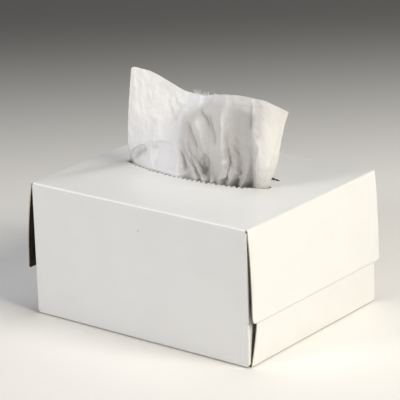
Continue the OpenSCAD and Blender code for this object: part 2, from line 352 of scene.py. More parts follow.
@dataclass
class Shading:
    """A material under construction, with short ways to add and join its nodes."""

    tree: bpy.types.NodeTree

    @classmethod
    def start(cls, name: str) -> tuple["Shading", bpy.types.Material]:
        """Makes an empty material.

        Args:
            name: The material's name.

        Returns:
            The builder of its nodes, and the material.
        """
        material = bpy.data.materials.new(name)
        material.use_nodes = True
        material.node_tree.nodes.clear()
        return cls(material.node_tree), material

    @classmethod
    def group(
        cls, name: str, inputs: dict[str, tuple[str, object]], outputs: dict[str, str]
    ) -> tuple["Shading", bpy.types.Node, bpy.types.Node]:
        """Makes an empty node group with named sockets.

        Args:
            name: The group's name.
            inputs: The type and the first value of each input, by name.
            outputs: The type of each output, by name.

        Returns:
            The builder of its nodes, the node of its inputs and the node of its outputs.
        """
        work = cls(bpy.data.node_groups.new(name, "ShaderNodeTree"))
        sockets = work.tree.interface
        for label, (kind, value) in inputs.items():
            made = sockets.new_socket(name=label, in_out="INPUT", socket_type=kind)
            if value is not None:
                made.default_value = value
        for label, kind in outputs.items():
            sockets.new_socket(name=label, in_out="OUTPUT", socket_type=kind)
        return work, work.node("NodeGroupInput"), work.node("NodeGroupOutput")

    def node(
        self, kind: str, inputs: dict[str | int, object] | None = None, **settings: object
    ) -> bpy.types.Node:
        """Adds a node.

        Args:
            kind: The node's type.
            inputs: What goes into it, by name or number: a number, a colour, or a socket to link.
            **settings: Properties of the node itself.

        Returns:
            The node.
        """
        made = self.tree.nodes.new(kind)
        for key, value in settings.items():
            setattr(made, key, value)
        for key, value in (inputs or {}).items():
            socket = made.inputs[key]
            if isinstance(value, Socket):
                self.join(value, socket)
            elif value is not None:
                socket.default_value = (*value, 1.0) if socket.type == "RGBA" else value
        return made

    def join(self, source: Socket, target: Socket) -> None:
        """Links two sockets."""
        self.tree.links.new(source, target)

    def place(self) -> Socket:
        """Gives the object's own coordinates, in metres."""
        return self.node("ShaderNodeTexCoord").outputs["Object"]

    def axes(self, place: Socket) -> tuple[Socket, ...]:
        """Splits coordinates into X, Y and Z."""
        return tuple(self.node("ShaderNodeSeparateXYZ", {0: place}).outputs)

    def math(self, operation: str, first: object, second: object = None) -> Socket:
        """Adds a sum of one value or two, each a number or a socket."""
        return self.node("ShaderNodeMath", {0: first, 1: second}, operation=operation).outputs[0]

    def dot(self, vector: Socket, way: tuple[float, float, float]) -> Socket:
        """Measures how far a vector goes along a direction."""
        made = self.node("ShaderNodeVectorMath", {0: vector, 1: way}, operation="DOT_PRODUCT")
        return made.outputs["Value"]

    def noise(
        self, place: Socket, scale: object, detail: float, rough: float = 0.5, twist: float = 0.0
    ) -> Socket:
        """Adds noise.

        Args:
            place: The coordinates that it follows.
            scale: How many of its cells go to the metre, as a number or a socket.
            detail: How many finer noises are laid over it.
            rough: How strong the finer ones are.
            twist: How far it is distorted.

        Returns:
            Its value, from 0 to 1.
        """
        inputs = {
            "Vector": place, "Scale": scale, "Detail": detail, "Roughness": rough,
            "Distortion": twist,
        }
        return self.node("ShaderNodeTexNoise", inputs).outputs["Fac"]

    def stretch(self, place: Socket, factors: tuple[float, float, float]) -> Socket:
        """Scales coordinates by a factor for each axis."""
        return self.node("ShaderNodeMapping", {"Vector": place, "Scale": factors}).outputs[0]

    def step(
        self,
        value: Socket,
        start: float,
        end: float,
        low: float = 0.0,
        high: float = 1.0,
        slope: Slope = Slope.EVEN,
    ) -> Socket:
        """Maps a range of values to another, and stops at both ends.

        Args:
            value: The value to map.
            start: Where the range begins.
            end: Where it ends. It may lie below the start.
            low: What comes out at the start.
            high: What comes out at the end.
            slope: How it goes from one end to the other.

        Returns:
            The mapped value.
        """
        inputs = {
            "Value": value, "From Min": start, "From Max": end, "To Min": low, "To Max": high,
        }
        made = self.node("ShaderNodeMapRange", inputs, interpolation_type=slope.value)
        return made.outputs["Result"]

    def soft_step(
        self, value: Socket, start: float, end: float, low: float = 0.0, high: float = 1.0
    ) -> Socket:
        """Maps a range of values as step does, with a soft start and end."""
        return self.step(value, start, end, low, high, Slope.SOFT)

    def blend(self, mask: Socket, first: object, second: object) -> Socket:
        """Mixes two colours, each a colour or a socket, by a mask."""
        made = self.node("ShaderNodeMix", {0: mask, 6: first, 7: second}, data_type="RGBA")
        return made.outputs[2]

    def bump(self, height: Socket, distance: float, strength: float) -> Socket:
        """Turns a height into a normal."""
        inputs = {"Height": height, "Distance": distance, "Strength": strength}
        return self.node("ShaderNodeBump", inputs).outputs["Normal"]

    def paper(
        self, fibre: bpy.types.NodeTree, place: Socket, look: "PaperLook"
    ) -> tuple[Socket, Socket]:
        """Adds the effect of paper with a finish's own values.

        Args:
            fibre: The group of the effect.
            place: The coordinates that it follows.
            look: The finish's colours, cloud and fibres.

        Returns:
            The colour, and the height of the felt.
        """
        inputs = {
            "Place": place, "Clear": look.clear, "Cloudy": look.cloudy, "Cloud": look.cloud,
            "Fibre Scale": look.fibre_scale,
        }
        made = self.node("ShaderNodeGroup", inputs, node_tree=fibre)
        return made.outputs["Colour"], made.outputs["Height"]

    def coat(
        self, colour: Socket, normal: Socket, roughness: float, specular: float = 0.5
    ) -> Socket:
        """Adds the shader of a surface that reflects.

        Args:
            colour: Its colour.
            normal: Its normal.
            roughness: How rough it is, from 0 to 1.
            specular: How strongly it reflects, from 0 to 1.

        Returns:
            The shader.
        """
        inputs = {
            "Base Color": colour, "Normal": normal, "Roughness": roughness,
            "Specular IOR Level": specular,
        }
        return self.node("ShaderNodeBsdfPrincipled", inputs).outputs["BSDF"]

    def surface(self, shader: Socket) -> None:
        """Puts a shader out as the material's surface."""
        self.node("ShaderNodeOutputMaterial", {"Surface": shader})


class PaperLook(NamedTuple):
    """The values that a paper finish gives to the effect that all of them share."""

    clear: Colour
    cloudy: Colour
    cloud: float
    fibre_scale: float


@dataclass(frozen=True)
class PaperFibre:
    """The effect that every paper here has: a fine felt of fibres and a soft cloudiness."""

    cloud_scale: float = 55.0
    cloud_detail: float = 5.0
    cloud_rough: float = 0.6
    cloud_from: float = 0.32
    cloud_full: float = 0.68
    felt_stretch: tuple[float, float, float] = (1.0, 0.55, 0.8)
    felt_detail: float = 4.0
    felt_twist: float = 1.4

    def group(self) -> bpy.types.NodeTree:
        """Builds the effect.

        Returns:
            A group that takes coordinates, a clear and a cloudy colour, the amount of cloud and the
            scale of the fibres, and puts out the colour and the felt's height.
        """
        work, source, result = Shading.group(
            "paper_fibre",
            {
                "Place": ("NodeSocketVector", None),
                "Clear": ("NodeSocketColor", (0.8, 0.8, 0.8, 1)),
                "Cloudy": ("NodeSocketColor", (0.7, 0.7, 0.7, 1)),
                "Cloud": ("NodeSocketFloat", 0.5),
                "Fibre Scale": ("NodeSocketFloat", 2500.0),
            },
            {"Colour": "NodeSocketColor", "Height": "NodeSocketFloat"},
        )
        place, clear, cloudy, amount, scale = source.outputs[:5]
        cloud = work.noise(place, self.cloud_scale, self.cloud_detail, self.cloud_rough)
        mask = work.math("MULTIPLY", work.step(cloud, self.cloud_from, self.cloud_full), amount)
        work.join(work.blend(mask, clear, cloudy), result.inputs["Colour"])
        lying = work.stretch(place, self.felt_stretch)
        felt = work.noise(lying, scale, self.felt_detail, twist=self.felt_twist)
        work.join(felt, result.inputs["Height"])
        return work.tree


@dataclass(frozen=True)
class Speck:
    """The effect of a small dark speck with a ragged edge."""

    ragged_scale: float = 2600.0
    ragged_detail: float = 3.0
    ragged_share: float = 0.8
    full_to: float = 0.9
    none_from: float = 1.5

    def group(self) -> bpy.types.NodeTree:
        """Builds the effect.

        Returns:
            A group that takes coordinates, a centre and a radius, and puts out a mask.
        """
        work, source, result = Shading.group(
            "speck",
            {
                "Place": ("NodeSocketVector", None),
                "Centre": ("NodeSocketVector", (0, 0, 0)),
                "Radius": ("NodeSocketFloat", 0.0005),
            },
            {"Mask": "NodeSocketFloat"},
        )
        place, centre, radius = source.outputs[:3]
        gap = work.node("ShaderNodeVectorMath", {0: place, 1: centre}, operation="DISTANCE")
        share = work.math("DIVIDE", gap.outputs["Value"], radius)
        ragged = work.noise(place, self.ragged_scale, self.ragged_detail)
        edge = work.math("ADD", share, work.math("MULTIPLY", ragged, self.ragged_share))
        mask = work.soft_step(edge, self.full_to, self.none_from, 1.0, 0.0)
        work.join(mask, result.inputs["Mask"])
        return work.tree


@dataclass(frozen=True)
class CoatedBoard:
    """The white clay coating on the outside of the carton, satin, with its few dark specks."""

    fibre: bpy.types.NodeTree
    speck: bpy.types.NodeTree
    look: PaperLook = PaperLook((0.83, 0.83, 0.815), (0.79, 0.785, 0.77), 0.45, 1900.0)
    speck_grey: Colour = (0.22, 0.2, 0.18)
    roughness: float = 0.46
    specular: float = 0.45
    felt_depth: float = 0.00002
    felt_strength: float = 0.5
    # Painted highlight on the front top fold, where the normal faces the front_fold direction.
    front_fold: tuple[float, float, float] = (0, -0.7071, 0.7071)
    painted_highlight: Colour = (0.97, 0.97, 0.965)
    highlight_from: float = 0.9
    highlight_full: float = 0.99
    # Painted shade along the foot of the walls, and painted shadow in a fine line under the outer
    # flaps' free edges.
    painted_shade: Colour = (0.3, 0.27, 0.235)
    foot_shade_height: float = 0.75
    foot_shade_full: float = 0.3
    seam_z: float = 22.0
    seam_x: float = 62.6
    seam_from: float = 1.15
    seam_full: float = 0.8
    seam_share: float = 0.42
    specks: tuple[tuple[float, float, float, float], ...] = (
        (1.2, -51.25, 54.0, 0.35),
        (64.6, -41.3, 22.2, 0.5),
        (65.0, -13.8, 22.1, 0.35),
        (65.0, 4.6, 22.1, 0.45),
        (65.0, 13.5, 22.1, 0.35),
    )

    def seam_shadow(self, work: Shading, x: Socket, z: Socket) -> Socket:
        """Makes a mask of the fine line of painted shadow on the lower flap, along the outer flap's
        edge.

        Args:
            work: The material under construction.
            x: The place's X.
            z: The place's Z.

        Returns:
            The mask.
        """
        start, full = ((self.seam_z - below) * MM for below in (self.seam_from, self.seam_full))
        line = work.step(z, start, full, high=self.seam_share)
        below = work.math("LESS_THAN", z, self.seam_z * MM)
        beside = work.math("GREATER_THAN", work.math("ABSOLUTE", x), self.seam_x * MM)
        return work.math("MULTIPLY", line, work.math("MULTIPLY", below, beside))

    def material(self) -> bpy.types.Material:
        """Builds the material.

        Returns:
            The material.
        """
        work, material = Shading.start("coated_board")
        place = work.place()
        colour, felt = work.paper(self.fibre, place, self.look)
        for *centre, radius in self.specks:
            inputs = {
                "Place": place, "Centre": tuple(c * MM for c in centre), "Radius": radius * MM,
            }
            mark = work.node("ShaderNodeGroup", inputs, node_tree=self.speck)
            colour = work.blend(mark.outputs["Mask"], colour, self.speck_grey)
        # Painted highlight on the front top fold, where the normal faces up and forward.
        facing = work.dot(work.node("ShaderNodeNewGeometry").outputs["Normal"], self.front_fold)
        colour = work.blend(work.step(facing, self.highlight_from, self.highlight_full), colour, self.painted_highlight)
        x, _, z = work.axes(place)
        # Painted shade along the foot of the walls, and the painted shadow line under the outer
        # flaps' edges.
        foot_shade = work.step(z, self.foot_shade_height * MM, self.foot_shade_height * self.foot_shade_full * MM)
        for mask in (foot_shade, self.seam_shadow(work, x, z)):
            colour = work.blend(mask, colour, self.painted_shade)
        normal = work.bump(felt, self.felt_depth, self.felt_strength)
        work.surface(work.coat(colour, normal, self.roughness, self.specular))
        return material


@dataclass(frozen=True)
class UncoatedBoard:
    """The brown uncoated inside of the board, or its cut edge in a lighter tan."""

    fibre: bpy.types.NodeTree
    name: str
    brown: Colour
    dark: Colour
    cloud: float = 1.0
    fibre_scale: float = 1300.0
    roughness: float = 0.85
    felt_depth: float = 0.00005
    felt_strength: float = 0.8
    fleck_stretch: tuple[float, float, float] = (1.0, 0.3, 1.0)
    fleck_scale: float = 900.0
    fleck_from: float = 0.62
    fleck_full: float = 0.75
    fleck_share: float = 0.6

    def material(self) -> bpy.types.Material:
        """Builds the material.

        Returns:
            The material.
        """
        work, material = Shading.start(self.name)
        place = work.place()
        look = PaperLook(self.brown, self.dark, self.cloud, self.fibre_scale)
        colour, felt = work.paper(self.fibre, place, look)
        flecks = work.noise(work.stretch(place, self.fleck_stretch), self.fleck_scale, 3)
        fleck = work.step(flecks, self.fleck_from, self.fleck_full, high=self.fleck_share)
        colour = work.blend(fleck, colour, self.dark)
        normal = work.bump(felt, self.felt_depth, self.felt_strength)
        work.surface(work.coat(colour, normal, self.roughness))
        return material


@dataclass(frozen=True)
class TissuePaper:
    """Thin white tissue: matt and finely fibrous, and letting light through where it is single."""

    fibre: bpy.types.NodeTree
    name: str
    look: PaperLook = PaperLook((0.97, 0.965, 0.96), (0.93, 0.92, 0.91), 0.6, 1500.0)
    roughness: float = 0.9
    specular: float = 0.2
    single: Colour = (0.84, 0.82, 0.79)
    shaded: Colour = (0.71, 0.685, 0.645)
    throat_shade: Colour = (0.16, 0.13, 0.1)
    valley_shade: Colour = (0.45, 0.42, 0.38)
    valley_shade_share: float = 0.62
    ridge_highlight_share: float = 0.7
    double_glow: float = 0.08
    single_glow: float = 0.24
    left_edge: float = -12.0
    left_blur: float = 3.0
    left_lean: float = 1.6
    lean_from: float = 93.0
    low_lean: float = 0.6
    low_from: float = 86.0
    hem_from: float = 103.5
    hem_blur: float = 3.0
    hem_share: float = 0.6
    panel_light_share: float = 0.4
    panel_width: float = 9.5
    hollow_from: float = 19.0
    hollow_fade: float = 9.0
    hollow_to: float = 38.0
    hollow_blur: float = 1.5
    hollow_top: float = 106.0
    crinkle_stretch: tuple[float, float, float] = (1.0, 1.0, 0.45)
    crinkle_scale: float = 260.0
    crinkle_depth: float = 0.0012
    crinkle_strength: float = 0.3
    felt_share: float = 0.25

    def before_hollow_ends(self, work: Shading, x: Socket) -> Socket:
        """Makes a mask that is 1 up to where the hollow ends."""
        ends = self.hollow_to + self.hollow_blur, self.hollow_to - self.hollow_blur
        return work.soft_step(x, *(end * MM for end in ends))

    def double_and_lit(self, work: Shading, x: Socket, z: Socket) -> Socket:
        """Makes a mask of whiter tissue: where it lies double at its left side and its top hem, and
        painted light part way over the right panel.

        Args:
            work: The material under construction.
            x: The place's X.
            z: The place's Z.

        Returns:
            The mask.
        """
        above = work.math("MAXIMUM", work.math("SUBTRACT", z, self.lean_from * MM), 0.0)
        under = work.math("MAXIMUM", work.math("SUBTRACT", self.low_from * MM, z), 0.0)
        along = work.math("SUBTRACT", x, work.math("MULTIPLY", above, self.left_lean))
        along = work.math("SUBTRACT", along, work.math("MULTIPLY", under, self.low_lean))
        left, hem, panel = (
            work.soft_step(value, start * MM, end * MM)
            for value, start, end in (
                (along, self.left_edge + self.left_blur, self.left_edge - self.left_blur),
                (z, self.hem_from, self.hem_from + self.hem_blur),
                (x, self.hollow_to + self.hollow_blur, self.hollow_to + self.panel_width),
            )
        )
        hem = work.math("MULTIPLY", hem, self.before_hollow_ends(work, x))
        hem = work.math("MULTIPLY", hem, self.hem_share)
        # Painted light part way over the right panel.
        panel = work.math("MULTIPLY", panel, self.panel_light_share)
        return work.math("MAXIMUM", work.math("MAXIMUM", left, panel), hem)

    def shade(self, work: Shading, x: Socket, z: Socket) -> Socket:
        """Makes a mask of painted shade: 1 over the lobe's right part, below the hem and short of the
        right panel.

        Args:
            work: The material under construction.
            x: The place's X.
            z: The place's Z.

        Returns:
            The mask.
        """
        start, end = self.hollow_from, self.hollow_from + self.hollow_fade
        right = work.soft_step(x, start * MM, end * MM)
        under = work.soft_step(z, (self.hollow_top + 1) * MM, (self.hollow_top - 4) * MM)
        mask = work.math("MULTIPLY", right, self.before_hollow_ends(work, x))
        return work.math("MULTIPLY", mask, under)

    def pressed(self, work: Shading, colour: Socket) -> Socket:
        """Paints shade into the valleys of the pressed folds and paints highlight on their ridges.

        Args:
            work: The material under construction.
            colour: The colour before.

        Returns:
            The colour after.
        """
        tone = work.node("ShaderNodeAttribute", attribute_name=FOLD_TONE).outputs["Fac"]
        for end, tint, strength in (
            (0.0, self.valley_shade, self.valley_shade_share),
            (1.0, self.look.clear, self.ridge_highlight_share),
        ):
            colour = work.blend(work.step(tone, EVEN_TONE, end, high=strength), colour, tint)
        return colour

    def material(self) -> bpy.types.Material:
        """Builds the material.

        Returns:
            The material.
        """
        work, material = Shading.start(self.name)
        place = work.place()
        x, _, z = work.axes(place)
        paper, felt = work.paper(self.fibre, place, self.look)
        double_and_lit = self.double_and_lit(work, x, z)
        colour = work.blend(self.shade(work, x, z), self.single, self.shaded)
        colour = self.pressed(work, work.blend(double_and_lit, colour, paper))
        # Painted shade where the tissue's neck passes under the rim.
        below = work.node("ShaderNodeAttribute", attribute_name=BELOW_RIM)
        colour = work.blend(below.outputs["Fac"], colour, self.throat_shade)
        lying = work.stretch(place, self.crinkle_stretch)
        crease = work.noise(lying, self.crinkle_scale, 4, 0.6)
        fold = work.math("ABSOLUTE", work.math("SUBTRACT", crease, 0.5))
        height = work.math("ADD", fold, work.math("MULTIPLY", felt, self.felt_share))
        normal = work.bump(height, self.crinkle_depth, self.crinkle_strength)
        matt = work.coat(colour, normal, self.roughness, self.specular)
        through = work.node("ShaderNodeBsdfTranslucent", {"Color": colour})
        glow = work.step(double_and_lit, 0.0, 1.0, self.single_glow, self.double_glow)
        mix = work.node("ShaderNodeMixShader", {0: glow, 1: matt, 2: through.outputs["BSDF"]})
        work.surface(mix.outputs["Shader"])
        return material


@dataclass(frozen=True)
class PackedTissue:
    """The sides and top of the folded pack, with the fine lines of its many layers."""

    fibre: bpy.types.NodeTree
    look: PaperLook = PaperLook((0.84, 0.835, 0.825), (0.6, 0.59, 0.575), 0.15, 1500.0)
    roughness: float = 0.9
    layer: float = 0.42
    layer_stretch: tuple[float, float, float] = (0.04, 0.04, 1.0)
    layer_depth: float = 0.0002
    layer_strength: float = 0.5
    line_from: float = 0.5
    line_full: float = 0.7
    line_share: float = 0.7

    def material(self) -> bpy.types.Material:
        """Builds the material.

        Returns:
            The material.
        """
        work, material = Shading.start("packed_tissue")
        place = work.place()
        colour, _ = work.paper(self.fibre, place, self.look)
        layers = work.noise(work.stretch(place, self.layer_stretch), 1000 / self.layer, 2)
        line = work.step(layers, self.line_from, self.line_full, high=self.line_share)
        colour = work.blend(line, colour, self.look.cloudy)
        normal = work.bump(layers, self.layer_depth, self.layer_strength)
        work.surface(work.coat(colour, normal, self.roughness))
        return material


@dataclass
class Carton:
    """The folded and glued carton: four walls, a domed top with its torn opening, and end flaps."""

    length: float = 127.0
    depth: float = 102.5
    height: float = 66.0
    board: float = 0.5
    crease: float = 1.2
    fold: float = 1.2
    outer_flap: float = 44.0
    lower_flap: float = 44.0
    dust_gap: float = 12.5
    right_glue: float = 22.0
    left_glue: float = 5.0
    right_bulge: float = 1.9
    left_bulge: float = 4.2
    outer_relief: float = 0.3
    flap_corner: float = 1.5
    edge_lift: float = 0.4
    edge_lift_height: float = 5.0
    lower_relief: float = 1.3
    lower_taper: float = 7.0
    dust_relief: float = 0.3
    dust_taper: float = 7.0
    dust_dive: float = 2.0
    dust_dive_length: float = 15.0
    glue_flap: float = 14.0
    opening_length: float = 93.0
    opening_width: float = 28.0
    front_rise: float = 3.1
    back_rise: float = 2.2
    right_tip_rise: float = 2.6
    left_tip_rise: float = 0.4
    slit: float = 1.6
    slit_out: float = 0.9
    tongue_droop: float = 1.0
    left_share: float = 0.935
    nick_pitch: float = 2.65
    nick_depth: float = 1.6
    nicks_to: float = 0.72
    crease_share: float = -0.22
    tear_share: float = 0.66
    slit_share: float = 0.83
    tongue_share: float = 0.9
    tongue_side: float = -0.18
    outline_step: float = 0.34
    dome_step: float = 0.5
    dome_spread: float = 3.2
    crease_spread: float = 0.5
    crease_reach: float = 3.0
    wave_depth: float = 0.16
    wall_bow: float = 0.1
    wall_wave: float = 0.07
    glue_relief: float = 2.0

    def __post_init__(self) -> None:
        """Works out the sizes that follow from the given ones."""
        self.wall_x = self.length / 2 - self.fold
        self.panel_y = self.depth / 2 - self.crease
        self.crest = self.height - self.outer_flap
        self.hinge_low = self.fold
        self.hinge_high = self.height - self.fold
        self.a = self.opening_length / 2
        self.b = self.opening_width / 2
        self.crease_start = np.array([-self.wall_x, self.crease_share * self.panel_y])
        self.along = np.linspace(-self.wall_x, self.wall_x, 125)
        self.across = np.linspace(-self.panel_y, self.panel_y, 101)
        self.dome = self.dome_heights()

    # The top panel

    def dome_heights(self) -> Callable[[Grid], Grid]:
        """Works out how the tissues push the top up, in flat facets with rounded creases.

        Returns:
            A function that gives the rise at each point of the panel.
        """
        w, p, a, b = self.wall_x, self.panel_y, self.a, self.b
        front, back = self.front_rise, self.back_rise
        border = [
            (-w, -p, 0), (w, -p, 0), (w, 0.43 * p, 0), (w, p, 0), (-w, p, 0),
            (*self.crease_start, 0),
        ]
        ring = [
            (-a, 0, self.left_tip_rise),
            (-0.74 * a, -0.67 * b, 0.95 * front),
            (0, -b, front),
            (0.78 * a, -0.63 * b, front),
            (a, 0, self.right_tip_rise),
            (0.7 * a, 0.71 * b, back),
            (0, b, back),
            (-0.7 * a, 0.71 * b, 0.5 * back),
        ]
        corners = np.array(border + ring)
        facets = [
            (0, 1, 8), (0, 8, 7), (1, 9, 8), (0, 7, 6), (0, 6, 5), (1, 10, 9), (1, 2, 10),
            (2, 3, 10), (3, 11, 10), (3, 12, 11), (3, 4, 12), (4, 13, 12), (4, 6, 13), (4, 5, 6),
            (6, 7, 13), (7, 8, 13), (8, 12, 13), (8, 9, 12), (9, 11, 12), (9, 10, 11),
        ]
        step = self.dome_step
        xs = np.arange(0, round(2 * w / step) + 1) * (2 * w / round(2 * w / step)) - w
        ys = np.arange(0, round(2 * p / step) + 1) * (2 * p / round(2 * p / step)) - p
        gx, gy = np.meshgrid(xs, ys, indexing="ij")
        rise = np.zeros_like(gx)
        for facet in facets:
            (ax, ay, az), (bx, by, bz), (cx, cy, cz) = corners[list(facet)]
            whole = (bx - ax) * (cy - ay) - (by - ay) * (cx - ax)
            s = ((gx - ax) * (cy - ay) - (gy - ay) * (cx - ax)) / whole
            t = ((bx - ax) * (gy - ay) - (by - ay) * (gx - ax)) / whole
            hit = (s >= -1e-9) & (t >= -1e-9) & (s + t <= 1 + 1e-9)
            rise[hit] = (az + s * (bz - az) + t * (cz - az))[hit]
        soft, crisp = soften(rise, self.dome_spread / step), soften(rise, self.crease_spread / step)
        near = np.exp(-((self.left_crease_distance(gx, gy) / self.crease_reach) ** 2))
        rise = near * crisp + (1 - near) * soft

        def at(points: Grid) -> Grid:
            """Reads the rise between the points of the grid.

            Args:
                points: Places on the panel, with X and Y first.

            Returns:
                The rise at each of them.
            """
            u = np.clip((points[..., 0] + w) / (xs[1] - xs[0]), 0, len(xs) - 1.001)
            v = np.clip((points[..., 1] + p) / (ys[1] - ys[0]), 0, len(ys) - 1.001)
            i, j = u.astype(int), v.astype(int)
            fu, fv = u - i, v - j
            low = rise[i, j] * (1 - fu) + rise[i + 1, j] * fu
            high = rise[i, j + 1] * (1 - fu) + rise[i + 1, j + 1] * fu
            return low * (1 - fv) + high * fv

        return at

    def left_crease_distance(self, x: Grid, y: Grid) -> Grid:
        """Gives the distance from the sharp crease between the left edge and the opening's tip.

        Args:
            x: The places' X.
            y: The places' Y.

        Returns:
            The distance of each place.
        """
        start = self.crease_start
        run = np.array([-self.a, 0.0]) - start
        share = ((x - start[0]) * run[0] + (y - start[1]) * run[1]) / (run @ run)
        share = np.clip(share, 0, 1)
        return np.hypot(x - start[0] - share * run[0], y - start[1] - share * run[1])

    def droop(self, points: Grid) -> Grid:
        """Says how far the loose end of the tongue beside the slit hangs down.

        Args:
            points: Places on the panel, (n, 2).

        Returns:
            The drop of each place.
        """
        x, y = points[:, 0], points[:, 1]
        ia, ib = (half + self.slit_out - self.slit + 0.05 for half in (self.a, self.b))
        loose = (np.hypot(x / ia, y / ib) < 1) & (y > -0.3 * self.b) & (x > 0.6 * self.a)
        share = np.clip((self.slit_share * self.a - x) / (0.17 * self.a), 0, 1)
        return self.tongue_droop * loose * share**1.3

    def torn_outline(self) -> Grid:
        """Draws the outline of the opening as it was torn out.

        It follows the perforated oval from the tongue round the front, the left tip and the back,
        then turns along the parted slit and round the tongue that stays at the right tip.

        Returns:
            The outline's points in order, (n, 2), with the nicks of the perforation in them.
        """
        a, b = self.a, self.b
        tear_x, slit_end = self.tear_share * a, self.slit_share * a
        tongue_x, tongue_y = self.tongue_share * a, self.tongue_side * b
        rough: list[Rim] = []
        start, end = -math.acos(0.905), math.acos((slit_end - 9) / a) - 2 * math.pi
        for angle in np.linspace(start, end, 400):
            x, y = a * math.cos(angle), b * math.sin(angle)
            rough.append(Rim(max(x, x * self.left_share), y, x < self.nicks_to * a))
        oa, ob = a + self.slit_out, b + self.slit_out
        ia, ib = oa - self.slit, ob - self.slit
        for x in np.linspace(slit_end - 8.6, slit_end, 16):
            rough.append(Rim(x, ob * math.sqrt(1 - (x / oa) ** 2), False))
        for x in np.linspace(slit_end, tear_x, 12):
            rough.append(Rim(x, ib * math.sqrt(1 - (x / ia) ** 2), False))
        for x, y in (
            (tear_x + 0.3, 0.45 * b), (tear_x + 1, 0.2 * b), (tear_x + 2.2, -0.02 * b),
            (tear_x + 4, tongue_y), (tear_x + 6.5, tongue_y - 0.2), (tongue_x, tongue_y),
            (tongue_x + 0.2, tongue_y - 1.4),
        ):
            rough.append(Rim(x, y, False))
        corners = np.array([(r.x, r.y) for r in rough])
        perforated = np.array([r.perforated for r in rough], float)
        ahead = np.roll(corners, -1, axis=0)
        run = np.concatenate([[0], np.cumsum(np.hypot(*(ahead - corners).T))])
        along = np.arange(0, run[-1], self.outline_step)
        closed = np.concatenate([corners, corners[:1]])
        line = plane(*(np.interp(along, run, closed[:, k]) for k in (0, 1)))
        nicked = np.interp(along, run, np.concatenate([perforated, perforated[:1]]))
        tangent = directions(line)
        inward = plane(tangent[:, 1], -tangent[:, 0])
        chance = np.random.default_rng(SEED)
        count = int(run[-1] / self.nick_pitch) + 2
        size = chance.uniform(0.75, 1.1, count) * self.nick_depth
        tooth = (along / self.nick_pitch).astype(int)
        place = along / self.nick_pitch - tooth
        notch = np.clip(2.2 - np.abs(place - 0.5) * 7.5, 0, 1)
        fray = 0.12 * smooth_noise(along * 1.3, along * 0, SEED + 3)
        reach = nicked * (fray - size[tooth] * notch) + (1 - nicked) * 2.2 * fray
        return line + inward * reach[:, None]

    def top_points(self, outline: Grid) -> Grid:
        """Scatters the points of the top panel, close together near the opening and the crease.

        Args:
            outline: The torn outline of the opening.

        Returns:
            The points inside the panel and outside the opening, (n, 2).
        """
        a, b, found = self.a, self.b, []
        for gap, count in ((0.45, 420), (1.0, 380), (1.7, 320), (2.6, 260)):
            angle = np.linspace(0, 2 * math.pi, count, endpoint=False)
            found.append(plane((a + gap) * np.cos(angle), (b + gap) * np.sin(angle)))
        step = 1.3
        rows = np.arange(-self.panel_y + 0.8, self.panel_y - 0.6, step * 0.87)
        for k, y in enumerate(rows):
            x = np.arange(-self.wall_x + 0.8 + (k % 2) * step / 2, self.wall_x - 0.6, step)
            row = plane(x, y)
            reach = np.hypot(row[:, 0] / (a + 3.3), row[:, 1] / (b + 3.3))
            found.append(row[reach > 1])
        x, y = (g.ravel() for g in np.meshgrid(np.arange(0.62 * a, a, 0.9), np.arange(-8, 11, 0.9)))
        found.append(plane(x, y)[np.hypot(x / (a - 0.4), y / (b - 0.4)) < 1])
        start = self.crease_start
        run = np.array([-a, 0.0]) - start
        across = np.array([-run[1], run[0]]) / np.hypot(*run)
        for off in (-0.9, -0.4, 0.4, 0.9):
            share = np.linspace(0.06, 0.97, 24)[:, None]
            found.append(start + run * share + across * off)
        points = np.concatenate(found)
        closest = np.full(len(points), np.inf)
        for corner in outline:
            closest = np.minimum(closest, np.hypot(*(points - corner).T))
        return points[(closest > 0.28) & ~inside(points, outline)]

    def top_panel(self, sheet: Folded) -> None:
        """Adds the domed top panel with its torn opening.

        Args:
            sheet: The board that the panel belongs to.
        """
        outline = self.torn_outline()
        w, p = self.wall_x, self.panel_y
        along, across = self.along, self.across
        border = np.concatenate(
            [
                plane(along[:-1], -p),
                plane(w, across[:-1]),
                plane(along[:0:-1], p),
                plane(-w, across[:0:-1]),
            ]
        )
        share = np.linspace(0, 1, 26)[:, None]
        crease = (1 - share) * self.crease_start + share * np.array([-self.a - 0.3, 0.0])
        loose = self.top_points(outline)
        near_crease = self.left_crease_distance(loose[:, 0], loose[:, 1])
        loose = loose[(near_crease > 0.7) | (np.abs(near_crease - 0.4) < 0.02)]
        points = np.concatenate([border, outline, crease[1:], loose])
        nb, no, nc = len(border), len(outline), len(crease) - 1
        edges = [(i, (i + 1) % nb) for i in range(nb)]
        edges += [(nb + i, nb + (i + 1) % no) for i in range(no)]
        edges += [(nb + no + i, nb + no + i + 1) for i in range(nc - 1)]
        flat, _, triangles, *_ = delaunay_2d_cdt(
            [Vector((x, y)) for x, y in points], edges, [], 0, 1e-6
        )
        flat = np.array([tuple(v) for v in flat])
        triangles = np.array([t for t in triangles if len(t) == 3])
        middle = flat[triangles].mean(axis=1)
        triangles = triangles[~inside(middle, outline)]
        a, b, c = (flat[triangles[:, k]].T for k in range(3))
        turn = (b[0] - a[0]) * (c[1] - a[1]) - (b[1] - a[1]) * (c[0] - a[0])
        triangles[turn < 0] = triangles[turn < 0][:, ::-1]
        rise = self.dome(flat) + self.height - self.droop(flat)
        upper = np.column_stack([flat, rise])
        lower = np.column_stack([flat, rise - self.board])
        sheet.add(upper, triangles, Side.COATED)
        sheet.add(lower, triangles[:, ::-1], Side.UNCOATED)
        used = np.concatenate([triangles[:, [0, 1]], triangles[:, [1, 2]], triangles[:, [2, 0]]])
        _, first, times = np.unique(
            np.sort(used, axis=1), axis=0, return_index=True, return_counts=True
        )
        rim = used[first[times == 1]]
        ends = np.abs(flat[rim]).max(axis=1)
        rim = rim[(ends[:, 0] < w - 0.01) & (ends[:, 1] < p - 0.01)]
        size = len(upper)
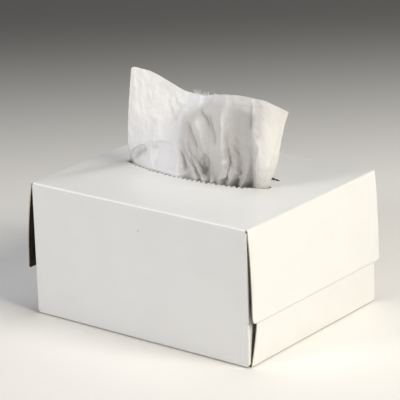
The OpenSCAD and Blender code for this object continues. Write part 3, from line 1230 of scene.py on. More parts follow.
        faces = np.stack([rim[:, 0], rim[:, 0] + size, rim[:, 1] + size, rim[:, 1]], 1)
        sheet.add(np.concatenate([upper, lower]), faces[:, ::-1], Side.CUT)

    # The walls

    def wall_profile(self, inset: float) -> Grid:
        """Draws the walls and the base from the front edge of the top round to its back edge.

        Args:
            inset: How far inside the outer face the line runs.

        Returns:
            The profile's points as [y, z].
        """
        radius = self.crease
        angles = np.linspace(0, math.pi / 2, 9)
        y, z = self.depth / 2 - radius, self.height - radius
        r = radius - inset
        line = [(-y - r * math.sin(t), z + r * math.cos(t)) for t in angles]
        line += [(-self.depth / 2 + inset, k) for k in np.linspace(z, radius, 26)[1:-1]]
        line += [(-y - r * math.cos(t), radius - r * math.sin(t)) for t in angles]
        line += [(k, inset) for k in np.linspace(-y, 0, 16)[1:]]
        half = np.array(line)
        return np.concatenate([half, (half * [-1, 1])[-2::-1]])

    def walls(self, sheet: Folded) -> None:
        """Adds the front wall, the base and the back wall, with the creases between them.

        Args:
            sheet: The board that the walls belong to.
        """
        outer, inner = self.wall_profile(0), self.wall_profile(self.board)

        def along_x(profile: Grid) -> Grid:
            """Repeats the profile along the box, and bows the tall walls a little.

            Args:
                profile: Points as [y, z].

            Returns:
                Points, (profile, stations, 3).
            """
            rows = np.empty((len(profile), len(self.along), 3))
            rows[..., 0] = self.along
            rows[..., 1] = profile[:, :1]
            rows[..., 2] = profile[:, 1:]
            up = np.sin(np.pi * np.clip(rows[..., 2] / self.height, 0, 1))
            span = np.cos(np.pi * rows[..., 0] / (2 * self.wall_x))
            soft = smooth_noise(rows[..., 0] / 34 + 9, rows[..., 2] / 30 + 4, SEED + 8)
            tall = np.clip((np.abs(rows[..., 1]) - self.panel_y) / (self.crease - self.board), 0, 1)
            bow = self.wall_bow + self.wall_wave * soft
            rows[..., 1] -= np.sign(rows[..., 1]) * tall * up * span * bow
            return rows

        sheet.sheet(along_x(outer), along_x(inner))
        glue_l = 2 * (self.wall_x - self.glue_relief)
        x = np.linspace(-glue_l / 2, glue_l / 2, 3)
        z = np.linspace(self.board, self.board + self.glue_flap, 3)
        face = np.stack(np.meshgrid(x, [0.0], z, indexing="ij"), -1)[:, 0]
        y = self.depth / 2 - self.board
        sheet.sheet(face + [0, y, 0], face + [0, y - self.board, 0])

    # The end flaps

    def outer_out(self, z: Grid, bulge: float) -> Grid:
        """Says how far the outer flap stands out from its fold at a height."""
        return bulge * (1 - ((z - self.crest) / (self.hinge_high - self.crest)) ** 2)

    def glue_line(self, glue: float) -> float:
        """Gives the height from which the lower flap lies glued against the outer one."""
        return max(self.crest, self.lower_flap - glue)

    def lower_out(self, z: Grid, bulge: float, glue: float) -> Grid:
        """Says how far the lower flap stands out, behind the outer flap and below it.

        Args:
            z: Heights.
            bulge: How far the outer flap stands out at its free edge.
            glue: The depth of the glued band.

        Returns:
            The distance from the fold line at each height.
        """
        line = self.glue_line(glue)
        bow = 1 + min(1.0, glue / (self.lower_flap - self.crest))
        touch = self.outer_out(line, bulge) - self.board
        below = touch * (1 - (np.clip(line - z, 0, None) / (line - self.hinge_low)) ** bow)
        return np.where(z > line, self.outer_out(z, bulge) - self.board, below)

    def strip(self, sheet: Folded, end: End, face: Grid, low: Grid, high: Grid) -> None:
        """Adds a flap from the line of its outer face in X and Z, and its two sides in Y.

        Args:
            sheet: The board that the flap belongs to.
            end: The end of the carton that it closes.
            face: The points of its outer face as [x, z], (n, 2), from the fold to the free edge.
            low: The place of its front side at each of them.
            high: The place of its back side at each of them.
        """
        way = directions(face)
        out = plane(-way[:, 1], way[:, 0])
        out *= np.sign(out[len(out) // 2, 0])
        share = np.linspace(0, 1, 42)
        outer = np.empty((len(face), len(share), 3))
        outer[..., 1] = low[:, None] * (1 - share) + high[:, None] * share
        down = np.linspace(0, 1, len(face))[:, None]
        wave = smooth_noise(outer[..., 1] / 26 + 5, down * 2.2 + end.value, SEED + 21)
        give = self.wave_depth * wave * np.sin(np.pi * np.clip(down * 1.1, 0, 1))
        outer[..., 0] = face[:, :1] + give
        outer[..., 2] = face[:, 1:]
        inner = outer - self.board * out[:, None, [0, 0, 1]] * [1, 0, 1]
        for side in (outer, inner):
            side[..., 0] *= end.value
        if end is End.RIGHT:
            outer, inner = outer[::-1], inner[::-1]
        sheet.sheet(outer, inner)

    def outer_flap_strip(self, sheet: Folded, end: End, bulge: float) -> None:
        """Adds the flap that hangs from the top, bowed out to its free edge.

        Args:
            sheet: The board that the flap belongs to.
            end: The end of the carton that it closes.
            bulge: How far it stands out at its free edge.
        """
        r = self.flap_corner
        angles = np.linspace(0, math.pi / 2, 10)[:-1]
        over, up = self.fold * np.sin(angles), self.fold * np.cos(angles)
        fold = plane(self.wall_x + over, self.hinge_high + up)
        corner = r - r * np.cos(np.linspace(math.pi / 2, 0, 8))
        z = np.concatenate(
            [np.linspace(self.hinge_high, self.crest + r + 0.6, 44), self.crest + corner]
        )
        z = np.unique(z)[::-1]
        loose = np.clip(1 - (z - self.crest) / self.edge_lift_height, 0, 1) ** 2
        out = self.length / 2 + self.outer_out(z, bulge) + self.edge_lift * loose
        face = np.concatenate([fold, plane(out, z)])
        near = np.clip(r - (face[:, 1] - self.crest), 0, r)
        half = self.depth / 2 - self.outer_relief - (r - np.sqrt(r * r - near * near))
        self.strip(sheet, end, face, -half, half)

    def lower_flap_strip(self, sheet: Folded, end: End, bulge: float, glue: float) -> None:
        """Adds the flap that stands on the base's fold, glued behind the outer one.

        Args:
            sheet: The board that the flap belongs to.
            end: The end of the carton that it closes.
            bulge: How far the outer flap stands out at its free edge.
            glue: The depth of the glued band.
        """
        angles = np.linspace(0, math.pi / 2, 10)[:-1]
        over, up = self.fold * np.sin(angles), self.fold * np.cos(angles)
        fold = plane(self.wall_x + over, self.fold - up)
        line = self.glue_line(glue)
        z = np.concatenate(
            [np.linspace(self.hinge_low, line, 34), np.linspace(line + 0.01, self.lower_flap, 14)]
        )
        out = self.length / 2 + self.lower_out(z, bulge, glue)
        face = np.concatenate([fold, plane(out, z)])
        share = face[:, 1] / self.lower_flap
        half = self.depth / 2 - self.lower_relief * (1 - share) - self.lower_taper * share
        self.strip(sheet, end, face, -half, half)

    def dust_flap_strip(self, sheet: Folded, end: End, back: int) -> None:
        """Adds a flap that turns in from the front or back wall and dives behind the others.

        Args:
            sheet: The board that the flap belongs to.
            end: The end of the carton that it closes.
            back: 1 for the flap of the back wall and -1 for the front one.
        """
        inset = self.board + 0.1
        radius = self.fold - inset
        start = -self.depth / 2 + radius
        stop = -self.depth / 2 + (self.depth - self.dust_gap) / 2
        outer_x = self.length / 2 - inset
        angles = np.linspace(0, math.pi / 2, 9)[:-1]
        fold = plane(self.wall_x + radius * np.sin(angles), start - radius * np.cos(angles))
        u = np.linspace(0, 1, 16)
        depth = self.dust_dive * (1 - (1 - u) ** 2)
        dive = plane(outer_x - depth, start + self.dust_dive_length * u)
        rest = np.linspace(start + self.dust_dive_length, stop, 8)[1:]
        face = np.concatenate([fold, dive, plane(outer_x - self.dust_dive, rest)])
        way = directions(face)
        out = plane(way[:, 1], -way[:, 0])
        share = (face[:, 1] + self.depth / 2) / (stop + self.depth / 2)
        low = self.fold + self.dust_relief + self.dust_taper * share
        up = np.linspace(0, 1, 30)
        outer = np.empty((len(face), len(up), 3))
        outer[..., 0] = face[:, :1]
        outer[..., 1] = face[:, 1:]
        outer[..., 2] = low[:, None] * (1 - up) + (self.height - low)[:, None] * up
        inner = outer - self.board * np.stack([out[:, 0], out[:, 1], 0 * out[:, 0]], 1)[:, None]
        for side in (outer, inner):
            side[..., 0] *= end.value
            side[..., 1] *= -back
        if end.value * -back > 0:
            outer, inner = outer[::-1], inner[::-1]
        sheet.sheet(outer[::-1], inner[::-1])

    def build(self, finishes: list[bpy.types.Material]) -> bpy.types.Object:
        """Builds the whole carton as one piece of folded board.

        Args:
            finishes: The coated, the uncoated and the cut finish.

        Returns:
            The piece.
        """
        sheet = Folded()
        self.top_panel(sheet)
        self.walls(sheet)
        for end, bulge, glue in (
            (End.RIGHT, self.right_bulge, self.right_glue),
            (End.LEFT, self.left_bulge, self.left_glue),
        ):
            self.outer_flap_strip(sheet, end, bulge)
            self.lower_flap_strip(sheet, end, bulge, glue)
            for back in (-1, 1):
                self.dust_flap_strip(sheet, end, back)
        return sheet.piece("folded_board", finishes)


class FoldLine(NamedTuple):
    """One fold of the pulled tissue: at the rim, then low down, halfway and at the top."""

    rim_share: float
    behind_rim: float
    low_x: float
    low_y: float
    low_z: float
    mid_x: float
    mid_y: float
    mid_z: float
    top_x: float
    top_y: float
    top_z: float


FOLDS = (
    FoldLine(-0.905, 3, -40.5, -5.5, 77.7, -39.1, -6, 93, -37.8, -4.5, 114.2),
    FoldLine(-0.87, 4.2, -37.8, -4.8, 78.4, -35.5, -5.6, 94.2, -35.9, -4.1, 115.3),
    FoldLine(-0.76, 1.6, -30.4, -4.5, 78.3, -30.4, -3.6, 93.3, -28.3, -2, 113.9),
    FoldLine(-0.56, 0.2, -25, -4.2, 80.6, -24.9, -2.2, 92.8, -23.2, -0.3, 111.6),
    FoldLine(-0.4, 0.4, -19.5, -3.6, 80.6, -20.7, -0.6, 93, -17.7, 1.4, 108.7),
    FoldLine(-0.24, 0.2, -15.5, -3.2, 81.7, -16.8, 0.6, 93.3, -12.3, 3.2, 105.7),
    FoldLine(-0.11, 0.2, -11, -4, 81.9, -14.3, 1.6, 93.2, -6.2, 4.4, 104.6),
    FoldLine(-0.05, 4, -7.6, -4.6, 80.4, -10, -0.4, 93.7, -0.7, 4.2, 104.5),
    FoldLine(0.1, 0.9, -2.3, -6.6, 75.9, -5.4, -3.4, 90.3, 4.8, 2.4, 105.9),
    FoldLine(0.15, 3.5, -0.4, -6, 75.6, -2.1, -4.6, 90.9, 7.4, 1.4, 106.7),
    FoldLine(0.205, 0, 3.3, -7.8, 76.2, 1.5, -6.2, 91.6, 9.6, 0.4, 107.4),
    FoldLine(0.25, 4, 6.4, -6.4, 76.6, 5.3, -6.6, 91.8, 11.8, -0.6, 108),
    FoldLine(0.3, 0.3, 11, -7.4, 76.4, 9.6, -7.6, 92.3, 13.6, -1.4, 108.4),
    FoldLine(0.345, 2.5, 14.3, -8, 76.7, 14.5, -8.6, 92.9, 15.4, -2.2, 108.9),
    FoldLine(0.4, 0, 21, -11.3, 78.7, 19.5, -9.9, 94.5, 17.3, -2.8, 109.3),
    FoldLine(0.445, 3, 21.9, -8, 77.4, 21.8, -8.3, 94.2, 20, -3, 109.6),
    FoldLine(0.51, 0, 26.7, -9.3, 78.4, 25.2, -7.9, 94.4, 24.1, -3.4, 110.2),
    FoldLine(0.555, 4.5, 29.1, -7.6, 78.1, 29.2, -8.3, 94.7, 28.4, -4.6, 110.7),
    FoldLine(0.645, 0.3, 34, -9.6, 79, 32.9, -9.4, 95.6, 31.5, -5.8, 111.1),
    FoldLine(0.7, 4.5, 35.9, -8.2, 79.4, 36.1, -10.6, 96.4, 34, -7, 111.5),
    FoldLine(0.795, 0, 40.9, -10.8, 82, 38.5, -11.4, 96.5, 35.8, -7.8, 111.7),
    FoldLine(0.845, 0.3, 42.8, -9, 81.8, 43.2, -10, 96.5, 42.3, -7.1, 111.2),
    FoldLine(0.865, 1.2, 43.7, -6.6, 81.7, 45.7, -6.4, 95.9, 47.1, -5.2, 109.1),
    FoldLine(0.872, 2.2, 44.6, -4.6, 81.7, 46.7, -3.6, 95.4, 50.1, -2.9, 107.1),
    FoldLine(0.88, 3.2, 45.5, -2.8, 81.3, 47.6, -1.2, 94.9, 51, -0.8, 105.6),
)


class Crease(NamedTuple):
    """A sharp line pressed into the pulled tissue: its path in X and Z, and how it falls away.

    The tissue stands out by the height along the path, and falls back over the left and the right
    width on the two sides of it, as seen on the way along the path.
    """

    path: tuple[tuple[float, float], ...]
    height: float
    left: float
    right: float


CREASES: tuple[Crease, ...] = (
    Crease(((-4.7, 69.2), (-7.7, 75), (-10.3, 79.6), (-12.9, 84.3)), 1.4, 1.6, 1.3),
    Crease(((-1.2, 69.2), (-5.2, 75.1), (-7.6, 79.9)), -1.4, 1.2, 1.2),
    Crease(((5.3, 69.5), (0.5, 72.4), (-3.4, 75.3), (-7.3, 80), (-9, 83.3)), 1.4, 0.8, 0.8),
    Crease(((8.7, 70), (5.1, 73.4), (-1.4, 77.6), (-4.2, 81.6), (-5.9, 85.1)), 1.5, 0.8, 0.8),
    Crease(((12.1, 78.1), (8.1, 80.3), (4.8, 81), (0, 83.2)), 1, 0.8, 0.8),
    Crease(((9.4, 69.9), (4.5, 75.4), (-2.3, 79.1)), -1.2, 0.7, 0.7),
    Crease(((1.3, 102.7), (-1.4, 100.5), (-7.9, 96.5), (-12.5, 93)), 1.7, 0.5, 4),
    Crease(((-0.9, 99.7), (5.9, 97.5), (11.1, 92.4)), -1.35, 0.8, 0.8),
    Crease(((-1.7, 97.2), (5.3, 90.8), (9.9, 82.9)), 1.2, 1.4, 1.4),
    Crease(((16.8, 104), (19.6, 95.7), (20, 89.5), (20.6, 83), (21.3, 79.2)), 0.99, 0.6, 0.9),
    Crease(((21, 82.1), (21.5, 77.3), (20.9, 73.6), (19.7, 70.3)), 1.5, 0.8, 0.8),
    Crease(((21.6, 84), (21.6, 79.6), (23.3, 74.1), (24.9, 69.8)), 1.4, 0.8, 0.8),
    Crease(((26.3, 77.6), (27.1, 74.8), (28.7, 71.4)), 1.2, 0.7, 0.7),
    Crease(((24.6, 88.3), (26.5, 86.8), (28.5, 86)), -0.68, 0.5, 0.5),
    Crease(((24.7, 86.4), (27.1, 84.9), (28.9, 83.6)), -0.68, 0.5, 0.5),
    Crease(((23.4, 84.2), (26.6, 82.5)), -0.51, 0.5, 0.5),
    Crease(((37.1, 97.2), (36.4, 99.8), (36, 104.2), (35.8, 110)), -1.5, 1.3, 0.35),
    Crease(((38.2, 96.4), (39.1, 94.4), (41.4, 89.8), (40.4, 81.4), (38.1, 70.2)), 1.1, 3, 0.5),
    Crease(((34.4, 107.8), (26.9, 106.3), (19.6, 105.6)), -0.45, 0.4, 0.4),
    Crease(((-18.6, 97.4), (-16.9, 92.4)), -0.6, 0.4, 0.6),
    Crease(
        (
            (-41.6, 69.2), (-38, 74.8), (-33.9, 77.3), (-30.2, 78.6), (-28.2, 79.2),
            (-25.6, 80.9), (-24.4, 79.8), (-22.2, 80.9), (-17.6, 80.9), (-12.8, 81),
        ),
        1.5, 4, 0.4,
    ),
    Crease(((-39.2, 69.3), (-33.6, 74.3), (-28.4, 76.6)), -1.4, 1.5, 1.5),
    Crease(((-27.3, 77.5), (-23.5, 77.9), (-22.1, 79)), -0.6, 1, 1),
    Crease(((-32.2, 70.6), (-22.5, 69.2)), 0.6, 1.2, 1.2),
    Crease(((-28.1, 79), (-24.5, 73.1), (-21.2, 69.5)), 0.6, 0.8, 0.8),
    Crease(((-22, 72.6), (-18.5, 69.2)), -0.6, 0.8, 0.8),
    Crease(((-29.8, 93.3), (-23, 93.1)), -0.15, 0.5, 0.5),
    Crease(((-26.6, 91.3), (-28.2, 85.2), (-29.3, 80.2)), -0.36, 1.8, 1.8),
    Crease(((-24, 93.4), (-24, 86.6), (-23.4, 80.6)), 0.35, 1.2, 1.5),
    Crease(((7.1, 82), (7.8, 77.2), (8.4, 71.8), (14, 69.2)), -1.5, 1.3, 1.3),
    Crease(((43.8, 101), (44.9, 93.3), (43.6, 84.7), (41.5, 76.2)), 0.6, 3, 3),
    Crease(((49.1, 102.9), (45.8, 88.6), (44.8, 83.8), (42.7, 77.8), (40.3, 70)), 0.4, 0.5, 0.5),
    Crease(((-7.3, 93.3), (-3.1, 88.6), (1.4, 84.1), (3.6, 79.5)), -1.4, 1.6, 1.6),
    Crease(((0.4, 96.4), (4.9, 91.2), (7, 86.5), (8.3, 81.2)), 0.8, 1.2, 1.2),
    Crease(((6.5, 99.6), (10.5, 95.6), (13.4, 91.2), (14.5, 85.1)), -1.1, 1.0, 1.0),
)


class Edge(Enum):
    """An edge of the pulled tissue."""

    TOP = "top"
    LEFT = "left"
    RIGHT = "right"


class Fray(NamedTuple):
    """A stretch of an edge that is frayed: where it runs, and how its fibres stand, in degrees."""

    edge: Edge
    low: float
    high: float
    count: int
    length: float
    width: float
    angle: float
    spread: float


FRAYS: tuple[Fray, ...] = (
    Fray(Edge.TOP, -7.5, 2.5, 30, 3.2, 0.26, 95, 45),
    Fray(Edge.TOP, 2.5, 9, 8, 1.4, 0.2, 100, 40),
    Fray(Edge.TOP, -37, 50, 70, 0.7, 0.14, 90, 35),
    Fray(Edge.LEFT, 72, 112, 26, 0.9, 0.14, 180, 35),
    Fray(Edge.RIGHT, 72, 104, 30, 1.1, 0.14, 0, 35),
    Fray(Edge.RIGHT, 93, 99, 5, 2.6, 0.2, -20, 25),
)


@dataclass
class PulledTissue:
    """The tissue that stands up out of the opening, gathered where it passes the rim."""

    carton: Carton
    width: float = 118.0
    length: float = 200.0
    gap: float = 0.3
    neck_z: float = 69.2
    pack_top: float = 53.5
    pack_width: float = 97.0
    columns: int = 433
    rises: int = 141
    ease: float = 2.6
    roundness: float = 0.18
    crease_step: float = 0.35
    crease_fade: float = 0.22
    fibre_points: int = 6
    crumpled_height: float = 42.0
    settle_height: float = 3.0
    pleats: Crumple = Crumple(3.4, 13, 20, 3, SEED + 31)
    crumples: Crumple = Crumple(7, 7.5, 30, 7, SEED + 41)
    fine: Crumple = Crumple(4.5, 7, 11, 5, SEED + 61, 2)
    calm: float = 0.75
    lively: float = 0.6
    lively_from: float = -14.0
    lively_to: float = 44.0
    lively_left_fade: float = 8.0
    lively_right_fade: float = 6.0
    pleat_depth: float = 0.3
    pleat_fade: float = 0.16
    crumple_depth: float = 0.3
    fine_depth: float = 0.13
    tone_per_mm: float = 0.3
    rim_margin: float = 0.1
    rim_fade: float = 0.3
    pack_fade: float = 4.0

    def rim_y(self, x: Grid) -> Grid:
        """Gives the front rim of the opening, seen from above."""
        return -self.carton.b * np.sqrt(np.maximum(0.02, 1 - (x / self.carton.a) ** 2))

    def levels(self, at: Grid) -> Grid:
        """Gives the rim, the low, the halfway and the top points at places along the folds.

        Args:
            at: Places along the folds, where each fold line is a whole number.

        Returns:
            Points, (4, places, 3).
        """
        table = np.array(FOLDS, float)
        curve = [hermite(table[:, k], at, self.ease) for k in range(table.shape[1])]
        x = self.carton.a * curve[0]
        y = self.rim_y(x) + self.gap + np.maximum(0, curve[1])
        rim = np.stack([x, y, np.full_like(x, self.neck_z)], 1)
        return np.stack([rim] + [np.stack(curve[k : k + 3], 1) for k in (2, 5, 8)])

    def standing(self) -> Grid:
        """Lofts the standing part through the levels of its folds, at even steps across.

        Returns:
            Points by row from the top edge down to the rim, (rows, columns, 3).
        """
        fine = np.linspace(0, len(FOLDS) - 1, 4000)
        halfway = self.levels(fine)[1:3].mean(axis=0)
        step = np.linalg.norm(np.diff(halfway, axis=0), axis=1) + 0.25 * np.diff(fine)
        run = np.concatenate([[0], np.cumsum(step)])
        at = np.interp(np.linspace(0, run[-1], self.columns), run, fine)
        levels = self.levels(at)
        last = len(levels) - 1
        rows = []
        for t in np.linspace(last, 0, self.rises):
            i = min(last - 1, int(t))
            u = t - i
            rows.append(cubic(tuple(levels[min(last, max(0, i + k))] for k in (-1, 0, 1, 2)), u, 2))
        return np.array(rows)

    def foot(self, neck: Grid) -> Grid:
        """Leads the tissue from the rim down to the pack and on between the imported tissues.

        Args:
            neck: The row of points at the rim.

        Returns:
            Further rows, (rows, columns, 3).
        """
        columns = len(neck)
        side = self.width * (np.arange(columns) / (columns - 1) - 0.5)
        depth = neck[:, 1] - self.rim_y(neck[:, 0])
        stations = np.array(
            [
                (0.0, 0.0, 9.0), (0.1, 0.0, 4.0), (0.35, -0.05, 1.0), (0.75, 0.04, 0.1),
                (1.0, 0.19, 0.1), (1.0, 0.474, 0.1), (1.0, 0.49, -0.5), (1.0, 0.474, -1.1),
                (1.0, 0.0, -1.1), (1.0, -0.47, -1.1),
            ]
        )
        rows = []
        for k, count in enumerate((6, 6, 7, 7, 8, 3, 3, 8, 8)):
            for u in np.arange(1, count + 1) / count:
                spread, y, up = stations[k] * (1 - u) + stations[k + 1] * u
                blend = np.clip((spread - 0.1) / 0.25, 0, 1)
                row_y = y * self.pack_width + depth * (1 - spread)
                row_y = neck[:, 1] * (1 - blend) + row_y * blend
                row_x = neck[:, 0] + spread * (side - neck[:, 0])
                height = np.full(columns, self.pack_top + self.gap + up)
                rows.append(np.stack([row_x, row_y, height], 1))
        return np.array(rows)

    def lift(self, stand: Grid) -> Grid:
        """Works out how far the creases stand out at each point of the standing part.

        Args:
            stand: The standing part before it is creased, (rows, columns, 3).

        Returns:
            Distances along the surface's normal, (rows, columns).
        """
        places = stand.reshape(-1, 3)
        total = np.zeros(len(places))
        for crease in CREASES:
            path = np.array(crease.path)
            steps = np.concatenate([[0], np.cumsum(np.hypot(*np.diff(path, axis=0).T))])
            run = np.linspace(0, steps[-1], max(8, int(steps[-1] / self.crease_step)))
            line = np.stack([np.interp(run, steps, path[:, k]) for k in (0, 1)], 1)
            reach = 5 * max(crease.left, crease.right) + 1
            near = np.all(
                (places[:, [0, 2]] > line.min(axis=0) - reach)
                & (places[:, [0, 2]] < line.max(axis=0) + reach),
                axis=1,
            )
            some = places[near]
            if not len(some):
                continue
            on = [np.argmin(np.hypot(some[:, 0] - x, some[:, 2] - z)) for x, z in line]
            solid = some[on]
            way = np.gradient(line, axis=0)
            gap = np.linalg.norm(some[:, None] - solid[None], axis=2)
            best = gap.argmin(axis=1)
            gap = gap[np.arange(len(some)), best]
            off = some[:, [0, 2]] - line[best]
            side = way[best, 0] * off[:, 1] - way[best, 1] * off[:, 0]
            width = np.where(side > 0, crease.left, crease.right)
            share = run[best] / steps[-1]
            taper = np.clip(np.minimum(share, 1 - share) / self.crease_fade, 0, 1)
            r = self.roundness
            fall = np.exp(-(np.hypot(gap, r) - r) / width)
            total[near] += crease.height * taper * taper * (3 - 2 * taper) * fall
        return total.reshape(stand.shape[:2])

    def fibres(self, points: Grid) -> tuple[Grid, Grid]:
        """Frays the sheet's edge into fine fibres, in a tuft where it was torn and few elsewhere.

        Args:
            points: The finished sheet, (rows, columns, 3).

        Returns:
            The fibres' points, (n, 3), and their faces, counted from 0.
        """
        chance = np.random.default_rng(SEED + 51)
        corners, faces = [], []
        edges = {
            Edge.TOP: (points[0], 0), Edge.LEFT: (points[:, 0], 2), Edge.RIGHT: (points[:, -1], 2),
        }
        steps = np.linspace(0, 1, self.fibre_points)
        for tuft in FRAYS:
            edge, axis = edges[tuft.edge]
            run = edge[:, axis]
            found = np.nonzero((run > tuft.low) & (run < tuft.high))[0]
            for _ in range(tuft.count):
                start = edge[chance.choice(found)]
                lean = math.radians(tuft.angle + chance.normal(0, tuft.spread))
                long = tuft.length * chance.uniform(0.45, 1.1)
                bend = math.radians(chance.uniform(-80, 80))
                turn = lean + bend * steps
                way = np.stack([np.cos(turn), 0.25 * np.sin(5 * steps + start[0]), np.sin(turn)], 1)
                path = start + np.cumsum(way, axis=0) * long / len(steps) - way[0] * 0.3
                wide = tuft.width * chance.uniform(0.6, 1.2) * (1 - 0.7 * steps)[:, None]
                beside = np.stack([-way[:, 2], 0 * steps, way[:, 0]], 1) * wide / 2
                first = 2 * len(steps) * len(faces)
                corners.append(np.stack([path - beside, path + beside], 1).reshape(-1, 3))
                k = first + 2 * np.arange(len(steps) - 1)[:, None]
                faces.append(k + np.array([0, 1, 3, 2]))
        return np.concatenate(corners), np.concatenate(faces)

    def build(self, finish: bpy.types.Material) -> bpy.types.Object:
        """Builds the tissue as one sheet.

        Args:
            finish: Its material.

        Returns:
            The piece.
        """
        stand = self.standing()
        points = np.concatenate([stand, self.foot(stand[-1])])
        rows, columns = points.shape[:2]
        across = np.gradient(points, axis=1)
        down = np.gradient(points, axis=0)
        normal = np.cross(down, across)
        normal /= np.linalg.norm(normal, axis=2, keepdims=True) + 1e-9
        x, z = points[..., 0], points[..., 2]
        up = np.clip((z - self.neck_z) / self.crumpled_height, 0, 1)
        pleat, crumple = self.pleats.height(x, z), self.crumples.height(x, z)
        fine = self.fine.height(x - z, x + z)
        settle = np.clip((z - self.neck_z) / self.settle_height, 0, 1)
        past_left = np.clip((x - self.lively_from) / self.lively_left_fade, 0, 1)
        before_right = np.clip((self.lively_to - x) / self.lively_right_fade, 0, 1)
        soft = self.calm + self.lively * past_left * before_right
        pleats = pleat * (self.pleat_depth - self.pleat_fade * up)
        coarse, small = crumple * self.crumple_depth * soft, fine * self.fine_depth * soft
        move = settle * (pleats + coarse + small)
        pressed = self.lift(stand) * settle[: self.rises]
        move[: self.rises] += pressed
        points += normal * move[..., None]
        frayed, strips = self.fibres(points[: self.rises])
        whole = np.concatenate([points.reshape(-1, 3), frayed])
        faces = grid_faces(rows, columns).tolist() + (strips + rows * columns).tolist()
        mesh = bpy.data.meshes.new("pulled_sheet")
        mesh.from_pydata((whole * MM).tolist(), [], faces)
        # Painted shade on the tissue's neck below the rim, fading out over the pack.
        rim = self.carton.height + self.carton.dome(whole[:, :2])
        neck_shade = np.clip((rim - whole[:, 2] + self.rim_margin) / self.rim_fade, 0, 1)
        over_pack = whole[:, 2] - self.pack_top - self.pack_fade
        neck_shade *= np.clip(over_pack / self.pack_fade, 0, 1)
        # Painted shade in the crease valleys and painted highlight on their ridges, from the creases'
        # lift.
        tone = np.full(len(whole), EVEN_TONE)
        tone[: pressed.size] = np.clip(EVEN_TONE + self.tone_per_mm * pressed.ravel(), 0, 1)
        for name, values in ((BELOW_RIM, neck_shade), (FOLD_TONE, tone)):
            layer = mesh.attributes.new(name, "FLOAT", "POINT")
            layer.data.foreach_set("value", values.astype(np.float32))
        mesh.materials.append(finish)
        mesh.shade_smooth()
        return put("pulled_sheet", mesh)


@dataclass
class TissuePack:
    """The folded tissues in the carton, as a block of rounded folds."""

    length: float = 118.0
    width: float = 97.0
    height: float = 53.0
    floor: float = 0.5
    bundles: int = 14
    stagger: float = 0.8

    def build(self, finish: bpy.types.Material) -> bpy.types.Object:
        """Builds the pack, each bundle's folds a little out of line with the next.

        Args:
            finish: Its material.

        Returns:
            The piece.
        """
        sheet = Folded()
        thick = self.height / self.bundles
        chance = np.random.default_rng(SEED + 5)
        profile = []
        angles = np.linspace(-math.pi / 2, math.pi / 2, 9)
        for k in range(self.bundles):
            shift = (k % 2 - 0.5) * self.stagger + chance.uniform(-0.15, 0.15)
            y = (self.width - self.stagger - thick - 0.6) / 2 + shift
            z = self.floor + (k + 0.5) * thick
            profile += [
                (y + thick / 2 * math.cos(t), z + thick / 2 * 0.96 * math.sin(t)) for t in angles
            ]
        back = np.array(profile)
        top = np.stack([np.linspace(back[-1, 0], -back[-1, 0], 30)[1:-1]] * 2, 1)
        top[:, 1] = self.floor + self.height - 1.6
        front = (back * [-1, 1])[::-1]
        ring = np.concatenate([back, top, front])
        x = np.linspace(-self.length / 2, self.length / 2, 24)
        grid = np.empty((len(ring) + 1, len(x), 3))
        grid[..., 0] = x
        closed = np.concatenate([ring, ring[:1]])
        grid[..., 1] = closed[:, :1]
        grid[..., 2] = closed[:, 1:]
        grid[..., 1] += 0.12 * smooth_noise(grid[..., 0] / 15 + 3, grid[..., 2] / 3, SEED + 6)
        grid[-1] = grid[0]
        rows, columns = grid.shape[:2]
        sheet.add(grid.reshape(-1, 3), grid_faces(rows, columns)[:, ::-1], Side.COATED)
        last = np.arange(rows - 1) * columns
        sheet.add(grid.reshape(-1, 3), [tuple(last)], Side.COATED)
        sheet.add(grid.reshape(-1, 3), [tuple(last[::-1] + columns - 1)], Side.COATED)
        return sheet.piece("folded_pack", [finish])


@dataclass(frozen=True)
class Lamp:
    """A square soft lamp that looks at the box.

    Attributes:
        name: The lamp's name.
        at: Its place in metres.
        size: The length of its side in metres.
        power: Its power in watts.
        colour: Its colour.
    """

    name: str
    at: tuple[float, float, float]
    size: float
    power: float
    colour: Colour

    def hang(self) -> None:
        """Hangs the lamp in the scene."""
        data = bpy.data.lights.new(self.name, "AREA")
        data.energy, data.size, data.color = self.power, self.size, self.colour
        obj = put(self.name, data)
        obj.location = self.at
        aim = Vector((0, 0, 0.04)) - Vector(self.at)
        obj.rotation_euler = aim.to_track_quat("-Z", "Y").to_euler()


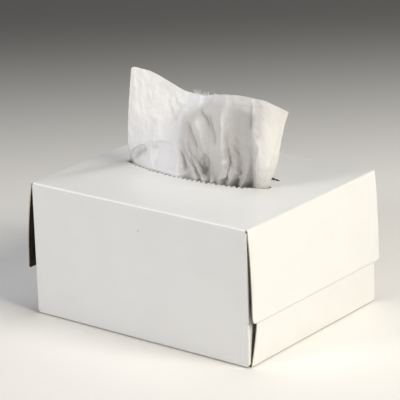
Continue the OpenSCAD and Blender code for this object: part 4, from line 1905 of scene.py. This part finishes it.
@dataclass
class Studio:
    """A pale floor that falls off into shade, soft lamps, and the camera of the photograph."""

    camera_at: tuple[float, float, float] = (0.62879, -0.80906, 0.39864)
    right: tuple[float, float, float] = (0.79401, 0.60725, -0.02828)
    upward: tuple[float, float, float] = (-0.17237, 0.26951, 0.94745)
    forward: tuple[float, float, float] = (-0.58296, 0.74741, -0.31866)
    lens: float = 205.06
    lamps: tuple[Lamp, ...] = (
        Lamp("key", (1.02, 0.0, 0.73), 0.6, 12.9, (1.0, 0.955, 0.851)),
        Lamp("top", (0.1, 0.1, 1.3), 0.8, 5.1, (0.9, 0.925, 1.0)),
        Lamp("front", (-0.48, -1.03, 0.42), 0.35, 5.75, (0.97, 0.965, 1.0)),
    )
    world: float = 0.05
    near_floor: Colour = (0.92, 0.9, 0.86)
    far_floor: Colour = (0.2, 0.195, 0.185)
    fall_from: float = 0.1
    fall_to: float = 0.6
    grain_scale: float = 700.0
    grain_depth: float = 0.0001
    grain_strength: float = 0.2
    floor_roughness: float = 0.8
    floor_specular: float = 0.2
    floor_half: float = 6.0
    floor_corners: tuple[tuple[int, int], ...] = ((-1, -1), (1, -1), (1, 1), (-1, 1))

    def camera(self) -> None:
        """Places the camera as the photograph was taken."""
        data = bpy.data.cameras.new("photo_camera")
        data.lens = self.lens
        data.sensor_width = 36
        data.clip_start, data.clip_end = 0.01, 20
        obj = put("photo_camera", data)
        turn = Matrix((self.right, self.upward, tuple(-c for c in self.forward))).transposed()
        obj.matrix_world = Matrix.Translation(self.camera_at) @ turn.to_4x4()
        bpy.context.scene.camera = obj

    def floor(self) -> None:
        """Lays the floor, pale round the box and darker with the distance behind it."""
        mesh = bpy.data.meshes.new("floor")
        corners = [(x * self.floor_half, y * self.floor_half, 0) for x, y in self.floor_corners]
        mesh.from_pydata(corners, [], [(0, 1, 2, 3)])
        work, material = Shading.start("studio_paper")
        place = work.place()
        along = work.dot(place, Vector((self.forward[0], self.forward[1], 0)).normalized())
        fall = work.soft_step(along, self.fall_from, self.fall_to)
        tone = work.blend(fall, self.near_floor, self.far_floor)
        grain = work.noise(place, self.grain_scale, 2)
        normal = work.bump(grain, self.grain_depth, self.grain_strength)
        work.surface(work.coat(tone, normal, self.floor_roughness, self.floor_specular))
        mesh.materials.append(material)
        put("floor", mesh)

    def build(self) -> None:
        """Builds the camera, the floor, the lamps and the even light of the room."""
        self.camera()
        self.floor()
        for lamp in self.lamps:
            lamp.hang()
        world = bpy.data.worlds.new("room")
        world.use_nodes = True
        background = world.node_tree.nodes["Background"]
        background.inputs["Color"].default_value = (0.95, 0.98, 1.0, 1)
        background.inputs["Strength"].default_value = self.world
        bpy.context.scene.world = world
        bpy.context.scene.view_settings.view_transform = "Standard"


def main() -> None:
    """Builds the pieces in order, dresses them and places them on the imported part."""
    logging.basicConfig(level=logging.INFO, format="%(message)s")
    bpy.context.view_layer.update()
    Studio().build()
    fibre, speck = PaperFibre().group(), Speck().group()
    coated = CoatedBoard(fibre, speck).material()
    # The inside's browns are painted far darker than kraft board, as painted shade in the gaps of the
    # flaps.
    shaded_inside_brown, shaded_inside_dark = (0.05, 0.037, 0.026), (0.026, 0.019, 0.013)
    edge_tan, edge_dark = (0.62, 0.54, 0.42), (0.42, 0.35, 0.25)
    uncoated = UncoatedBoard(fibre, "kraft_inside_painted_shade", shaded_inside_brown, shaded_inside_dark).material()
    cut = UncoatedBoard(fibre, "cut_edge", edge_tan, edge_dark).material()
    carton = Carton()
    board = carton.build([coated, uncoated, cut])
    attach(board, "root")
    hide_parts("carton")
    LOG.info("folded board: %d faces", len(board.data.polygons))
    pack = TissuePack().build(PackedTissue(fibre).material())
    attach(pack, "root")
    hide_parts("tissue_pack")
    LOG.info("pack of tissues: %d faces", len(pack.data.polygons))
    tissue = PulledTissue(carton)
    pulled = tissue.build(TissuePaper(fibre, "tissue_paper").material())
    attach(pulled, "root")
    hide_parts("pulled_tissue")
    LOG.info("pulled tissue: %d faces", len(pulled.data.polygons))


if __name__ == "__main__":
    main()
